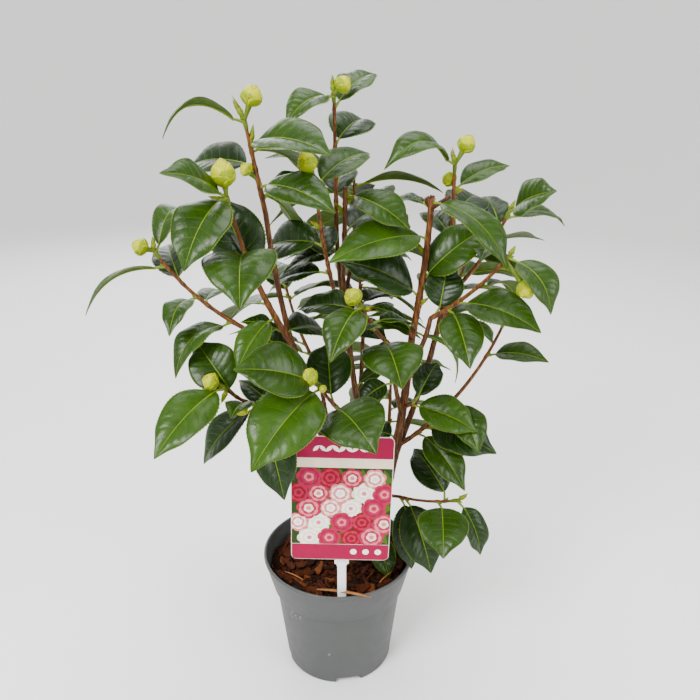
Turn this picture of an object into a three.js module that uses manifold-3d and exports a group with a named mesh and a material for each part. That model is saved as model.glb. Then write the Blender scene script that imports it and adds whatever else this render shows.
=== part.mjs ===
// A young camellia shrub in its nursery pot, with the plant label pushed into the compost.
//
// Millimetres, +Z up, +X right, +Y back. The origin is the middle of the pot's flat underside.
// Every direction is a compass, in degrees from +X towards +Y seen from above, and a rise, in
// degrees above the horizontal. A share is a place along a limb, 0 at its foot and 1 at its tip.

import * as THREE from 'three';
import { mergeVertices } from 'three/addons/utils/BufferGeometryUtils.js';
import Module from 'manifold-3d';

const wasm = await Module();
wasm.setup();

const GAP = 0.3; // clearance between neighbours that touch

// ---- driving sizes: pot, compost and label ------------------------------------------------------

const POT = {
  height: 124,
  rimRadius: 75, // outside, at the top of the collar
  collarFootRadius: 66.5, // outside, at the collar's lower edge
  collarFootHeight: 89,
  bodyTopRadius: 63.5, // outside, just under the collar
  baseRadius: 54,
  baseRound: 5, // radius of the rounded edge round the underside
  wall: 1.6,
  floor: 2,
  lip: 1.2, // how far the rolled rim stands in over the wall
  sides: 40,
};
const NOTCH = { count: 4, firstCompass: 281, width: 24, height: 4.5, depth: 9 };
const COMPOST = { top: 112, crown: 2.5, sides: 30 };

const CARD = { width: 88, height: 126, thick: 1, round: 5, middleX: 4, foot: 160, front: -66, roll: -1.5 };
const STICK = { width: 8, thick: 1.6, foot: 98, top: 240, clipWidth: 13, clipHeight: 4 };
const SLOT_GAP = 0.35; // round the stick where it is pushed into the compost

// ---- driving sizes: wood ------------------------------------------------------------------------

const TRUNK = {
  x: 28, y: 12, compass: 335, rise: 73, length: 50, footRadius: 8.5, tipRadius: 6, flare: 3.5, sides: 10,
};
const LIMB_SIDES = 7;
const STEP_LENGTH = 50; // of limbs and stems, at most

// Limbs: parent, share of it, compass, rise, length, sag, radius at the foot, radius at the tip.
const LIMBS = {
  right_bough: ['trunk', 1, 340, 82, 193, 4, 5.0, 3.3],
  centre_bough: ['trunk', 1, 149, 80, 242, 6, 3.6, 2.3],
  left_bough: ['trunk', 1, 206, 66, 214, 14, 4.4, 3.0],
  mid_left_bough: ['left_bough', 0.45, 186, 77, 228, 8, 3.0, 2.2],
  far_left_bough: ['left_bough', 0.9, 177, 38, 58, 3, 2.3, 2.0],
  low_left_bough: ['left_bough', 0.6, 211, 34, 55, 4, 2.2, 1.8],
  mid_front_bough: ['left_bough', 0.3, 268, 69, 87, 4, 2.4, 2.0],
  upper_inner_bough: ['centre_bough', 0.7, 239, 68, 74, 4, 2.2, 1.9],
  top_centre_bough: ['centre_bough', 0.8, 140, 83, 104, 3, 2.2, 2.0],
  centre_low_bough: ['right_bough', 0.6, 236, 73, 80, 3, 2.3, 2.0],
  back_right_bough: ['right_bough', 0.35, 41, 67, 159, 6, 3.1, 2.4],
  top_right_bough: ['back_right_bough', 0.75, 7, 82, 87, 3, 2.3, 2.0],
  right_out_bough: ['right_bough', 0.85, 330, 69, 54, 3, 2.4, 2.1],
  mid_right_bough: ['right_bough', 0.64, 300, 30, 10, 0, 1.7, 1.5],
  right_low_bough: ['right_bough', 0.42, 3, 32, 16, 0, 2.6, 2.2],
  low_right_bough: ['right_bough', 0.12, 327, 14, 16, 0, 1.6, 1.4],
  back_low_bough: ['trunk', 0.9, 80, 38, 95, 8, 3.0, 2.2],
  back_left_bough: ['left_bough', 0.4, 105, 42, 95, 6, 2.4, 2.0],
  back_middle_bough: ['centre_bough', 0.45, 85, 50, 85, 6, 2.4, 2.0],
  back_high_bough: ['centre_bough', 0.92, 75, 55, 60, 4, 2.0, 1.8],
  back_out_bough: ['back_right_bough', 0.45, 70, 30, 70, 6, 2.3, 1.9],
};

// ---- driving sizes: shoots and their leaves -----------------------------------------------------

const LEAF = {
  petiole: 9, // from the shoot's axis to the foot of the blade
  petioleHalf: 0.9,
  halfThick: 0.55,
  width: 0.54, // of the blade's length
  arch: 0.11, // height of the midrib over the straight line from foot to tip, of the length
  fold: 16, // degrees that each half stands up from the midrib
  stations: [0.1, 0.3, 0.56, 0.82],
};
const SHOOT_SIDES = 6;
const SHOOT_TIP_RADIUS = 1.3;
const BUD_SIDES = 7;
const BUD_RINGS = [[0.12, 0.55], [0.42, 0.98], [0.78, 0.75]]; // share of the length, of the radius
const SPEAR_WIDTH = 4.6;

// Each shoot: the bough it grows on, its stem (compass, rise, length, sag), and on it
//   leaves: share, compass, rise, length, lean, width, arch. The lean tips the upper face from
//           straight up towards the compass that the shoot faces; width and arch may be left out;
//   buds:   share, compass, rise, distance of the bud's middle from the stem, diameter, stretch;
//   spears: share, compass, rise, length of the pointed leaf bud;
//   more:   further leaves that the seeded rule deals out towards the compass `away`.
const SHOOTS = {
  top_left: {
    on: 'mid_left_bough', stem: [220, 78, 75, 0], faces: 270,
    leaves: [
      [0.98, 205, -13, 56, -15, 0.5, 0.32],
      [0.74, 325, -5, 71, 32, 0.6],
      [0.5, 150, -7, 62, 36, 0.62],
      [0.3, 328, -14, 66, 32, 0.58],
      [0.68, 50, -28, 60, 10],
      [0.22, 60, -45, 55, 20],
    ],
    buds: [[1, 10, 70, 19, 16, 1.05], [0.38, 200, 45, 13, 10.5, 1]],
    spears: [[1, 160, 60, 15], [0.74, 20, 78, 12]],
  },
  left_front: {
    on: 'left_bough', stem: [215, 68, 141, 6], faces: 270,
    leaves: [
      [0.98, 225, 21, 52, 38, 0.62],
      [0.99, 245, -41, 64, 34, 0.66, 0.14],
      [0.5, 148, 62, 62, 60, 0.7],
      [0.66, 275, -19, 70, 30, 0.78, 0.16],
      [0.22, 235, -38, 50, 25, 0.52],
      [0.32, 133, -31, 58, 10],
      [0.08, 60, -20, 58, 36, 0.6],
    ],
    buds: [[1, 180, 84, 17, 18, 1.2]],
    spears: [[0.97, 195, 18, 11]],
  },
  far_left: {
    on: 'far_left_bough', stem: [174, 42, 96, 6], faces: 250,
    leaves: [
      [0.98, 60, 12, 50, 0, 0.6, 0.42],
      [0.84, 210, -28, 68, -18, 0.4, 0.18],
      [0.64, 110, 14, 60, 30],
      [0.47, 258, -22, 46, 10, 0.5, 0.2],
      [0.36, 82, -8, 45, 20],
      [0.1, 225, -34, 60, 10, 0.48, 0.26],
    ],
    buds: [[1, 190, 22, 12, 14, 1]],
    spears: [[1, 110, 70, 9]],
  },
  mid_front: {
    on: 'mid_front_bough', stem: [234, 49, 56, 2], faces: 270,
    leaves: [
      [0.97, 200, 17, 64, 36, 0.78],
      [0.86, 232, -28, 84, 36, 0.66, 0.14],
      [0.3, 298, -9, 66, 36, 0.84, 0.14],
      [0.38, 95, 30, 56, 50, 0.7],
    ],
    buds: [[1, 190, 38, 10, 15.5, 1.05], [0.92, 300, 0, 6, 5, 1]],
    spears: [],
  },
  low_left: {
    on: 'low_left_bough', stem: [222, 37, 59, 4], faces: 270,
    leaves: [
      [0.68, 140, 40, 50, 50, 0.8],
      [0.95, 232, -27, 72, 30, 0.54],
      [0.25, 185, -50, 64, 20, 0.52],
      [0.4, 262, 10, 40, 20],
      [0.1, 300, -60, 72, 30, 0.52],
    ],
    buds: [[1, 190, 25, 10, 14, 1], [0.5, 250, -30, 9, 10, 1]],
    spears: [[0.9, 250, -40, 9]],
  },
  centre_low: {
    on: 'centre_low_bough', stem: [220, 52, 56, 3], faces: 270,
    leaves: [
      [0.95, 245, -30, 56, 24, 0.58, 0.16],
      [0.84, 155, -9, 54, 25, 0.58],
      [0.12, 280, -14, 62, 32, 0.82, 0.12],
      [0.45, 252, 14, 40, 20],
      [0.6, 36, -22, 43, 10],
    ],
    buds: [[1, 185, 48, 10, 15, 1]],
    spears: [[0.9, 340, 20, 7]],
  },
  upper_inner: {
    on: 'upper_inner_bough', stem: [251, 68, 109, 4], faces: 270,
    leaves: [
      [0.92, 50, 14, 62, 28, 0.54],
      [0.44, 140, -14, 60, 46, 0.68],
      [0.28, 104, 11, 60, 0],
      [0.18, 150, -26, 60, 20],
    ],
    buds: [[1, 160, 64, 14, 14.5, 1.22]],
    spears: [[0.6, 200, 40, 9]],
  },
  top_centre: {
    on: 'top_centre_bough', stem: [268, 76, 105, -3], faces: 270,
    leaves: [
      [0.88, 50, 22, 52, 20, 0.6],
      [0.98, 222, -26, 46, 26, 0.62, 0.16],
      [0.58, 65, 12, 54, 40, 0.74],
      [0.12, 85, 14, 60, 20],
      [0.32, 170, 10, 56, 6],
    ],
    buds: [[1, 5, 45, 11, 13.5, 1.05]],
    spears: [[1, 120, 78, 11]],
  },
  centre_stub: {
    on: 'centre_bough', stem: [276, 74, 85, 3], faces: 270,
    leaves: [
      [0.93, 335, -26, 56, 30, 0.64],
      [0.31, 200, -18, 50, 10],
      [0.52, 60, 2, 60, 20],
      [0.34, 30, -18, 66, 20],
    ],
    buds: [],
    spears: [[0.86, 20, 40, 9], [0.75, 200, 50, 10]],
  },
  leader: {
    on: 'right_bough', stem: [5, 84, 124, 2], faces: 270,
    leaves: [
      [0.3, 180, 22, 70, 30, 0.7],
      [0.72, 204, -10, 84, 34, 0.5],
      [0.42, 10, 36, 66, 36, 0.6],
      [0.97, 323, -36, 78, 10, 0.5, 0.16],
      [0.93, 140, -8, 40, 10, 0.5],
      [0.05, 350, -55, 54, 0, 0.34, 0.26],
    ],
    buds: [],
    spears: [[0.6, 165, 55, 12], [0.25, 330, 40, 9]],
  },
  mid_right: {
    on: 'mid_right_bough', stem: [300, 38, 9, 0], faces: 270,
    leaves: [
      [0.4, 342, -18, 56, 34, 0.66],
      [0.9, 60, 24, 44, 30, 0.6],
    ],
    buds: [],
    spears: [],
  },
  top_right: {
    on: 'top_right_bough', stem: [251, 85, 77, 2], faces: 270,
    leaves: [
      [1, 207, -4, 62, 24, 0.54, 0.34],
      [0.7, 20, 16, 50, 20, 0.56],
      [0.35, 60, 11, 50, 36, 0.8],
      [0.1, 109, 11, 55, 20],
    ],
    buds: [[1, 5, 62, 20, 15, 1.1], [0.8, 120, 20, 8, 12, 1.1]],
    spears: [[1, 150, 74, 11], [0.7, 20, 10, 8]],
  },
  right_upper: {
    on: 'back_right_bough', stem: [347, 58, 99, 5], faces: 270,
    leaves: [
      [0.98, 312, 26, 44, 46, 0.84],
      [0.66, 250, -4, 54, 10, 0.5],
      [0.93, 15, -13, 52, 12, 0.54, 0.18],
      [0.8, 98, 19, 50, 20],
      [0.55, 126, 3, 55, 20],
    ],
    buds: [],
    spears: [[1, 40, 50, 9]],
  },
  right_out: {
    on: 'right_out_bough', stem: [338, 44, 87, 4], faces: 270,
    leaves: [
      [0.32, 325, -11, 68, 30, 0.6],
      [0.2, 280, -32, 58, 40, 0.62],
      [0.05, 71, 52, 40, 50, 0.86],
      [0.99, 315, -47, 50, 18, 0.62, 0.22],
      [0.6, 40, -30, 50, -10, 0.44, 0.2],
      [0.86, 16, -40, 56, 0, 0.44],
    ],
    buds: [[0.96, 300, -35, 32, 14, 1.15]],
    spears: [[1, 30, 50, 8]],
  },
  right_low: {
    on: 'right_low_bough', stem: [3, 55, 142, 10], faces: 270,
    leaves: [
      [0.74, 335, 0, 48, 22, 0.56],
      [0.36, 290, -34, 50, 30, 0.66],
      [0.05, 312, -35, 62, 24, 0.52],
      [0.1, 335, -11, 64, 44, 0.6, 0.16],
      [0.32, 350, -52, 44, 20, 0.6],
    ],
    buds: [],
    spears: [[0.12, 20, 20, 9]],
  },
  low_right: {
    on: 'low_right_bough', stem: [331, 14, 62, 3], faces: 270,
    leaves: [
      [0.78, 120, 22, 56, 40, 0.64],
      [0.66, 266, -24, 52, 40, 0.88],
      [0.98, 320, -64, 48, 10, 0.56],
      [0.1, 300, -55, 66, 30, 0.62],
      [0.02, 285, -66, 62, 30, 0.5],
    ],
    buds: [],
    spears: [[1, 350, 40, 9]],
  },
  back_low: { on: 'back_low_bough', stem: [85, 48, 75, 6], faces: 90, more: 7, away: 85 },
  back_left: { on: 'back_left_bough', stem: [130, 55, 90, 6], faces: 120, more: 8, away: 135 },
  back_middle: { on: 'back_middle_bough', stem: [95, 55, 90, 6], faces: 90, more: 8, away: 90 },
  back_high: { on: 'back_high_bough', stem: [90, 68, 60, 4], faces: 90, more: 7, away: 85 },
  back_out: { on: 'back_out_bough', stem: [55, 50, 95, 6], faces: 60, more: 8, away: 50 },
};

const COLOURS = {
  pot: 0x6d7478,
  compost: 0x3a2418,
  card: 0xd8305f,
  stick: 0xe9ebe6,
  wood: 0x7a4a2c,
  leaf: 0x2c5a24,
};

// ---- vectors, loops and solids ------------------------------------------------------------------

const UP = new THREE.Vector3(0, 0, 1);

function heading(compass, rise) {
  const a = THREE.MathUtils.degToRad(compass);
  const b = THREE.MathUtils.degToRad(rise);
  return new THREE.Vector3(Math.cos(a) * Math.cos(b), Math.sin(a) * Math.cos(b), Math.sin(b));
}

// The unit vector square to `along` that lies nearest to `wanted`.
function square(wanted, along) {
  return wanted.clone().addScaledVector(along, -wanted.dot(along)).normalize();
}

// A closed surface through rings of points that run anticlockwise about the way they go. The first
// ring is capped flat, and the last is capped flat or is a single point.
function loft(rings) {
  const n = rings[0].length;
  const index = [];
  for (let i = 1; i < n - 1; i += 1) index.push(0, i + 1, i);
  rings.slice(1).forEach((ring, step) => {
    const a = step * n;
    const b = a + n;
    for (let i = 0; i < n; i += 1) {
      const j = (i + 1) % n;
      if (ring.length === 1) index.push(a + i, a + j, b);
      else index.push(a + i, a + j, b + j, a + i, b + j, b + i);
    }
  });
  const last = (rings.length - 1) * n;
  if (rings.at(-1).length > 1) {
    for (let i = 1; i < n - 1; i += 1) index.push(last, last + i, last + i + 1);
  }
  const geometry = new THREE.BufferGeometry().setFromPoints(rings.flat());
  geometry.setIndex(index);
  return geometry;
}

function solidOf(geometry) {
  geometry.deleteAttribute('normal');
  geometry.deleteAttribute('uv');
  const merged = mergeVertices(geometry, 1e-4);
  const corners = [];
  const all = merged.index.array;
  for (let i = 0; i < all.length; i += 3) {
    const [a, b, c] = [all[i], all[i + 1], all[i + 2]];
    if (a !== b && b !== c && c !== a) corners.push(a, b, c);
  }
  return new wasm.Manifold(new wasm.Mesh({
    numProp: 3,
    vertProperties: new Float32Array(merged.attributes.position.array),
    triVerts: new Uint32Array(corners),
  }));
}

function geometryOf(solid) {
  const mesh = solid.getMesh();
  const geometry = new THREE.BufferGeometry();
  geometry.setAttribute('position', new THREE.BufferAttribute(mesh.vertProperties, 3));
  geometry.setIndex(new THREE.BufferAttribute(mesh.triVerts, 1));
  geometry.computeVertexNormals();
  return geometry;
}

// The largest body of a solid, without the scraps that a cut may leave.
function largest(solid) {
  return solid.decompose().reduce((a, b) => (b.volume() > a.volume() ? b : a));
}

// ---- limbs --------------------------------------------------------------------------------------

// A limb's line: straight from foot to tip, sagging below that by `sag` at the middle.
function sagging(start, compass, rise, length, sag) {
  const chord = heading(compass, rise);
  const end = start.clone().addScaledVector(chord, length);
  const middle = start.clone().lerp(end, 0.5).addScaledVector(square(UP, chord), -2 * sag);
  return new THREE.QuadraticBezierCurve3(start, middle, end);
}

// A tapering round tube on a limb's line, grown by `extra` all round and past its tip.
function taper(limb, extra = 0) {
  const side = heading(limb.compass + 90, 0);
  const steps = Math.ceil(limb.line.getLength() / STEP_LENGTH);
  const rings = [];
  for (let step = 0; step <= steps; step += 1) {
    const share = step / steps;
    const along = limb.line.getTangent(share);
    const centre = limb.line.getPoint(share).addScaledVector(along, step === steps ? extra : 0);
    const radius = THREE.MathUtils.lerp(limb.footRadius, limb.tipRadius, share) + extra;
    const over = new THREE.Vector3().crossVectors(along, side);
    rings.push(ringOf(centre, side, over, radius, limb.sides));
  }
  return solidOf(loft(rings));
}

function ringOf(centre, side, over, radius, sides) {
  return Array.from({ length: sides }, (_, i) => {
    const turn = (i / sides) * Math.PI * 2;
    return centre.clone()
      .addScaledVector(side, Math.cos(turn) * radius)
      .addScaledVector(over, Math.sin(turn) * radius);
  });
}

// The trunk's rings lie level, so it starts with a flat cut at the soil, flared in three lobes.
function trunkSolid(extra = 0) {
  const start = new THREE.Vector3(TRUNK.x, TRUNK.y, COMPOST.top + GAP);
  const line = sagging(start, TRUNK.compass, TRUNK.rise, TRUNK.length, 0);
  const rings = [0, 0.1, 0.25, 0.5, 1].map((share) => {
    const centre = line.getPoint(share);
    if (share === 1) centre.z += extra;
    const fade = (1 - share) ** 6;
    const radius = THREE.MathUtils.lerp(TRUNK.footRadius, TRUNK.tipRadius, share) + extra;
    return Array.from({ length: TRUNK.sides }, (_, i) => {
      const turn = (i / TRUNK.sides) * Math.PI * 2;
      const r = radius + TRUNK.flare * fade * (0.6 + 0.4 * Math.cos(3 * turn));
      return centre.clone().add(new THREE.Vector3(Math.cos(turn) * r, Math.sin(turn) * r, 0));
    });
  });
  return { line, solid: solidOf(loft(rings)) };
}

const limbs = {};
const stems = {};
const taken = []; // everything that a later leaf must stay clear of

function growTrunk() {
  const { line, solid } = trunkSolid();
  limbs.trunk = { line, solid, fat: trunkSolid(GAP).solid };
  taken.push(solid);
}

// A limb starts on its parent's line, and is cut back from its parent and from the limbs that
// spring from near the same place.
function growLimb(name, [parent, share, compass, rise, length, sag, footRadius, tipRadius]) {
  const start = limbs[parent].line.getPoint(share);
  const line = sagging(start, compass, rise, length, sag);
  const limb = { line, compass, footRadius, tipRadius, sides: LIMB_SIDES };
  limb.solid = largest(Object.values(limbs).reduce((a, b) => a.subtract(b.fat), taper(limb)));
  limb.fat = taper(limb, GAP);
  limbs[name] = limb;
  taken.push(limb.solid);
}

// ---- leaves and buds ----------------------------------------------------------------------------

// Half the blade's width at a share of its length: a round foot and a drawn-out tip, 1 at most.
function outline(share) {
  return (share ** 0.7 * (1 - share) ** 0.95) / 0.325;
}

// Rings of a leaf from its root on the stem's line, along the petiole and the arched midrib, to its
// tip. `from` 0 takes in the petiole, and 1 leaves it out.
function leafRings(leaf, from) {
  const { root, foot, aim, face, length, width, arch } = leaf;
  const tip = foot.clone().addScaledVector(aim, length);
  const over = foot.clone().lerp(tip, 0.5).addScaledVector(face, 2 * arch * length);
  const midrib = new THREE.QuadraticBezierCurve3(foot, over, tip);
  const right = new THREE.Vector3().crossVectors(aim, face);
  const fold = THREE.MathUtils.degToRad(LEAF.fold);
  const section = (centre, up, half, lift) => [
    centre.clone().addScaledVector(right, -half * Math.cos(fold)).addScaledVector(up, lift),
    centre.clone().addScaledVector(up, LEAF.halfThick),
    centre.clone().addScaledVector(right, half * Math.cos(fold)).addScaledVector(up, lift),
    centre.clone().addScaledVector(up, -LEAF.halfThick),
  ];
  const stalk = [root, foot].map((point) => section(point, face, LEAF.petioleHalf, 0));
  const blade = LEAF.stations.map((share) => {
    const half = outline(share) * width * length / 2;
    const up = square(face, midrib.getTangent(share));
    return section(midrib.getPoint(share), up, half, half * Math.sin(fold));
  });
  return [...(from === 0 ? stalk : []), ...blade, [tip]];
}

// Where a leaf sits: its root on the stem's line, its foot at the petiole's end, the way it aims and
// the way its upper face looks.
function placeLeaf(line, faces, [share, compass, rise, length, lean, width, arch]) {
  const root = line.getPoint(share);
  const aim = heading(compass, rise);
  const stalk = line.getTangent(share).multiplyScalar(0.6).add(aim).normalize();
  const foot = root.clone().addScaledVector(stalk, LEAF.petiole);
  const face = square(heading(faces, 90 - lean), aim);
  return { root, foot, aim, face, length, width: width ?? LEAF.width, arch: arch ?? LEAF.arch };
}

function budSolid(line, [share, compass, rise, reach, diameter, stretch]) {
  const root = line.getPoint(share);
  const along = heading(compass, rise);
  const side = heading(compass + 90, 0);
  const over = new THREE.Vector3().crossVectors(along, side);
  const length = diameter * stretch;
  const base = reach - length / 2;
  const at = (distance) => root.clone().addScaledVector(along, distance);
  const rings = [ringOf(root, side, over, 1.1, BUD_SIDES), ringOf(at(base), side, over, 1.4, BUD_SIDES)];
  for (const [place, size] of BUD_RINGS) {
    rings.push(ringOf(at(base + place * length), side, over, (size * diameter) / 2, BUD_SIDES));
  }
  rings.push([at(base + length)]);
  return solidOf(loft(rings));
}

// A pointed leaf bud, widest a third of the way up.
function spearSolid(line, [share, compass, rise, length]) {
  const root = line.getPoint(share);
  const along = heading(compass, rise);
  const side = heading(compass + 90, 0);
  const over = new THREE.Vector3().crossVectors(along, side);
  const at = (distance) => root.clone().addScaledVector(along, distance);
  return solidOf(loft([
    ringOf(root, side, over, 0.9, 5),
    ringOf(at(length * 0.25), side, over, 0.9, 5),
    ringOf(at(length * 0.55), side, over, SPEAR_WIDTH / 2, 5),
    [at(length * 1.25)],
  ]));
}

// ---- shoots -------------------------------------------------------------------------------------

// Park and Miller's generator: the same numbers in any language.
function dice(seed) {
  let state = seed;
  return () => {
    state = (state * 48271) % 2147483647;
    return state / 2147483647;
  };
}

// Further leaves, a golden turn apart about the compass they spread from, drooping at random.
const GOLDEN_TURN = 137.5;
const TRIES = 3; // for each leaf wanted
function dealLeaves(seed, away, wanted) {
  const roll = dice(seed);
  return Array.from({ length: wanted * TRIES }, (_, i) => {
    const turn = ((i * GOLDEN_TURN) % 360) - 180;
    return [
      0.12 + 0.86 * roll(),
      away + turn * 0.62,
      -34 + 44 * roll(),
      60 + 22 * roll(),
      12 + 26 * roll(),
      0.48 + 0.16 * roll(),
    ];
  });
}

function touches(solid, others) {
  const box = solid.boundingBox();
  return others.some((other) => {
    const far = other.boundingBox();
    const apart = [0, 1, 2].some((k) => box.min[k] > far.max[k] || box.max[k] < far.min[k]);
    return !apart && !solid.intersect(other).isEmpty();
  });
}

// A shoot's stem runs on from the tip of its bough, cut clear of every limb.
function growStem(shoot) {
  const bough = limbs[shoot.on];
  const [compass, rise, length, sag] = shoot.stem;
  const line = sagging(bough.line.getPoint(1), compass, rise, length, sag);
  const radii = { footRadius: bough.tipRadius, tipRadius: SHOOT_TIP_RADIUS };
  const stem = { line, compass, ...radii, sides: SHOOT_SIDES };
  const wood = largest(Object.values(limbs).reduce((a, b) => a.subtract(b.fat), taper(stem)));
  return { line, wood };
}

// A shoot: its stem, its buds, and every leaf that touches nothing but its own stem.
function growShoot(name, shoot, order) {
  const { line, wood } = stems[name];
  const others = [...taken, ...Object.values(stems).map((stem) => stem.wood).filter((other) => other !== wood)];
  const kept = [];
  const blades = [wood];
  const add = (row) => {
    const leaf = placeLeaf(line, shoot.faces, row);
    const whole = solidOf(loft(leafRings(leaf, 0)));
    const blade = solidOf(loft(leafRings(leaf, 1)));
    if (touches(blade, blades) || touches(whole, others)) return false;
    kept.push(whole);
    blades.push(blade);
    return true;
  };
  for (const row of shoot.leaves ?? []) add(row);
  const wanted = kept.length + (shoot.more ?? 0);
  for (const row of dealLeaves(1000 + order, shoot.away, shoot.more ?? 0)) {
    if (kept.length < wanted) add(row);
  }
  for (const bud of [...(shoot.buds ?? []).map((row) => budSolid(line, row)),
    ...(shoot.spears ?? []).map((row) => spearSolid(line, row))]) {
    if (!touches(bud, others)) kept.push(bud);
  }
  const solid = largest(kept.reduce((a, b) => a.add(b), wood));
  taken.push(solid);
  return solid;
}

// ---- pot, compost and label ---------------------------------------------------------------------

// The pot's outer wall from the underside's edge to the rim, as (radius, height) points.
function potOutside() {
  const points = [];
  for (let i = 0; i <= 3; i += 1) {
    const turn = (i / 3) * (Math.PI / 2);
    points.push(new THREE.Vector2(
      POT.baseRadius - POT.baseRound + POT.baseRound * Math.sin(turn),
      POT.baseRound - POT.baseRound * Math.cos(turn),
    ));
  }
  points.push(
    new THREE.Vector2(POT.bodyTopRadius, POT.collarFootHeight - 1),
    new THREE.Vector2(POT.collarFootRadius, POT.collarFootHeight),
    new THREE.Vector2(POT.rimRadius - 0.4, POT.height - 4),
    new THREE.Vector2(POT.rimRadius, POT.height - 2),
    new THREE.Vector2(POT.rimRadius - 0.6, POT.height),
  );
  return points;
}

// The radius inside the wall at a height.
function insideRadius(height) {
  const [low, high] = height < POT.collarFootHeight
    ? [[POT.baseRound, POT.baseRadius], [POT.collarFootHeight, POT.bodyTopRadius]]
    : [[POT.collarFootHeight, POT.collarFootRadius], [POT.height, POT.rimRadius]];
  const share = (height - low[0]) / (high[0] - low[0]);
  return THREE.MathUtils.lerp(low[1], high[1], share) - POT.wall;
}

function revolve(points, sides) {
  const geometry = new THREE.LatheGeometry(points, sides);
  geometry.rotateX(Math.PI / 2);
  return solidOf(geometry);
}

function potSolid() {
  const { height: rim, collarFootHeight: step } = POT;
  const inside = [rim, rim - 3, rim - 5, step + 2, step - 4, 8, POT.floor + 2]
    .map((height, i) => new THREE.Vector2(insideRadius(height) - (i < 2 ? POT.lip : 0), height));
  let pot = revolve([
    new THREE.Vector2(0, 0),
    ...potOutside(),
    ...inside,
    new THREE.Vector2(insideRadius(POT.baseRound) - 3, POT.floor),
    new THREE.Vector2(0, POT.floor),
  ], POT.sides);
  for (let i = 0; i < NOTCH.count; i += 1) {
    const notch = new THREE.BoxGeometry(NOTCH.depth * 2, NOTCH.width, NOTCH.height * 2);
    notch.translate(POT.baseRadius, 0, 0);
    notch.rotateZ(THREE.MathUtils.degToRad(NOTCH.firstCompass + (i * 360) / NOTCH.count));
    pot = pot.subtract(solidOf(notch));
  }
  return pot;
}

// The compost fills the pot clear of its wall, floor and notches, slightly crowned on top.
function compostSolid() {
  const foot = NOTCH.height + GAP;
  const heights = [foot, POT.collarFootHeight - 5, POT.collarFootHeight + 3, COMPOST.top - COMPOST.crown];
  const side = heights.map((height) => new THREE.Vector2(insideRadius(height) - GAP, height));
  side[2].x = insideRadius(POT.collarFootHeight - 1) - GAP; // clear of the step under the collar
  const body = revolve([
    new THREE.Vector2(0, foot),
    ...side,
    new THREE.Vector2(insideRadius(COMPOST.top) - 14, COMPOST.top),
    new THREE.Vector2(0, COMPOST.top),
  ], COMPOST.sides);
  const slot = new THREE.BoxGeometry(STICK.width + 2 * SLOT_GAP, STICK.thick + 2 * SLOT_GAP, 60);
  slot.translate(CARD.middleX, stickMiddleY(), STICK.foot - GAP + 30);
  return body.subtract(solidOf(slot));
}

function stickMiddleY() {
  return CARD.front + CARD.thick + GAP + STICK.thick / 2;
}

// The card: an upright plate with round corners, turned a little in its own plane.
function cardGeometry() {
  const [w, h, r] = [CARD.width / 2, CARD.height / 2, CARD.round];
  const shape = new THREE.Shape();
  shape.moveTo(-w + r, -h);
  shape.lineTo(w - r, -h).absarc(w - r, -h + r, r, -Math.PI / 2, 0);
  shape.lineTo(w, h - r).absarc(w - r, h - r, r, 0, Math.PI / 2);
  shape.lineTo(-w + r, h).absarc(-w + r, h - r, r, Math.PI / 2, Math.PI);
  shape.lineTo(-w, -h + r).absarc(-w + r, -h + r, r, Math.PI, Math.PI * 1.5);
  const extrusion = { depth: CARD.thick, bevelEnabled: false, curveSegments: 4 };
  const geometry = new THREE.ExtrudeGeometry(shape, extrusion);
  geometry.rotateZ(THREE.MathUtils.degToRad(CARD.roll));
  geometry.rotateX(Math.PI / 2);
  geometry.translate(CARD.middleX, CARD.front + CARD.thick, CARD.foot + CARD.height / 2);
  return geometry;
}

// The stick, with the clip that stands out under the card's lower edge.
function stickSolid() {
  const y = stickMiddleY();
  const blade = new THREE.BoxGeometry(STICK.width, STICK.thick, STICK.top - STICK.foot);
  blade.translate(CARD.middleX, y, (STICK.top + STICK.foot) / 2);
  const clip = new THREE.BoxGeometry(STICK.clipWidth, STICK.thick, STICK.clipHeight);
  clip.translate(CARD.middleX, y, CARD.foot - STICK.clipHeight);
  return solidOf(blade).add(solidOf(clip));
}

// ---- the scene graph ----------------------------------------------------------------------------

const material = (color, roughness) => new THREE.MeshStandardMaterial({ color, roughness, metalness: 0 });
const FINISH = {
  pot: material(COLOURS.pot, 0.6),
  compost: material(COLOURS.compost, 0.95),
  card: material(COLOURS.card, 0.35),
  stick: material(COLOURS.stick, 0.4),
  wood: material(COLOURS.wood, 0.75),
  leaf: material(COLOURS.leaf, 0.35),
};

const plant = new THREE.Group();
plant.name = 'camellia_shrub';

function addNode(name, geometry, finish) {
  const mesh = new THREE.Mesh(geometry, finish);
  mesh.name = name;
  plant.add(mesh);
  return mesh;
}

addNode('pot', geometryOf(potSolid()), FINISH.pot);
addNode('compost', geometryOf(compostSolid()), FINISH.compost);
const card = addNode('label_card', cardGeometry(), FINISH.card);
const stick = addNode('label_stick', geometryOf(stickSolid()), FINISH.stick);
taken.push(solidOf(card.geometry.clone()), solidOf(stick.geometry.clone()));

growTrunk();
addNode('trunk', geometryOf(limbs.trunk.solid), FINISH.wood);
for (const [name, row] of Object.entries(LIMBS)) {
  growLimb(name, row);
  addNode(name, geometryOf(limbs[name].solid), FINISH.wood);
}
for (const [name, shoot] of Object.entries(SHOOTS)) stems[name] = growStem(shoot);
Object.entries(SHOOTS).forEach(([name, shoot], order) => {
  addNode(`${name}_leaves`, geometryOf(growShoot(name, shoot, order)), FINISH.leaf);
});

export default plant;
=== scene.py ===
"""A young camellia shrub in its nursery pot, with the plant label pushed into the compost.

+Z up, +X right, +Y back; the origin is the middle of the pot's flat underside. Sizes are written in
millimetres, and MM turns them into metres where a mesh is made. Every direction is a compass, in
degrees from +X towards +Y seen from above, and a rise, in degrees above the horizontal. A share is a
place along a limb, 0 at its foot and 1 at its tip.
"""

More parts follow.
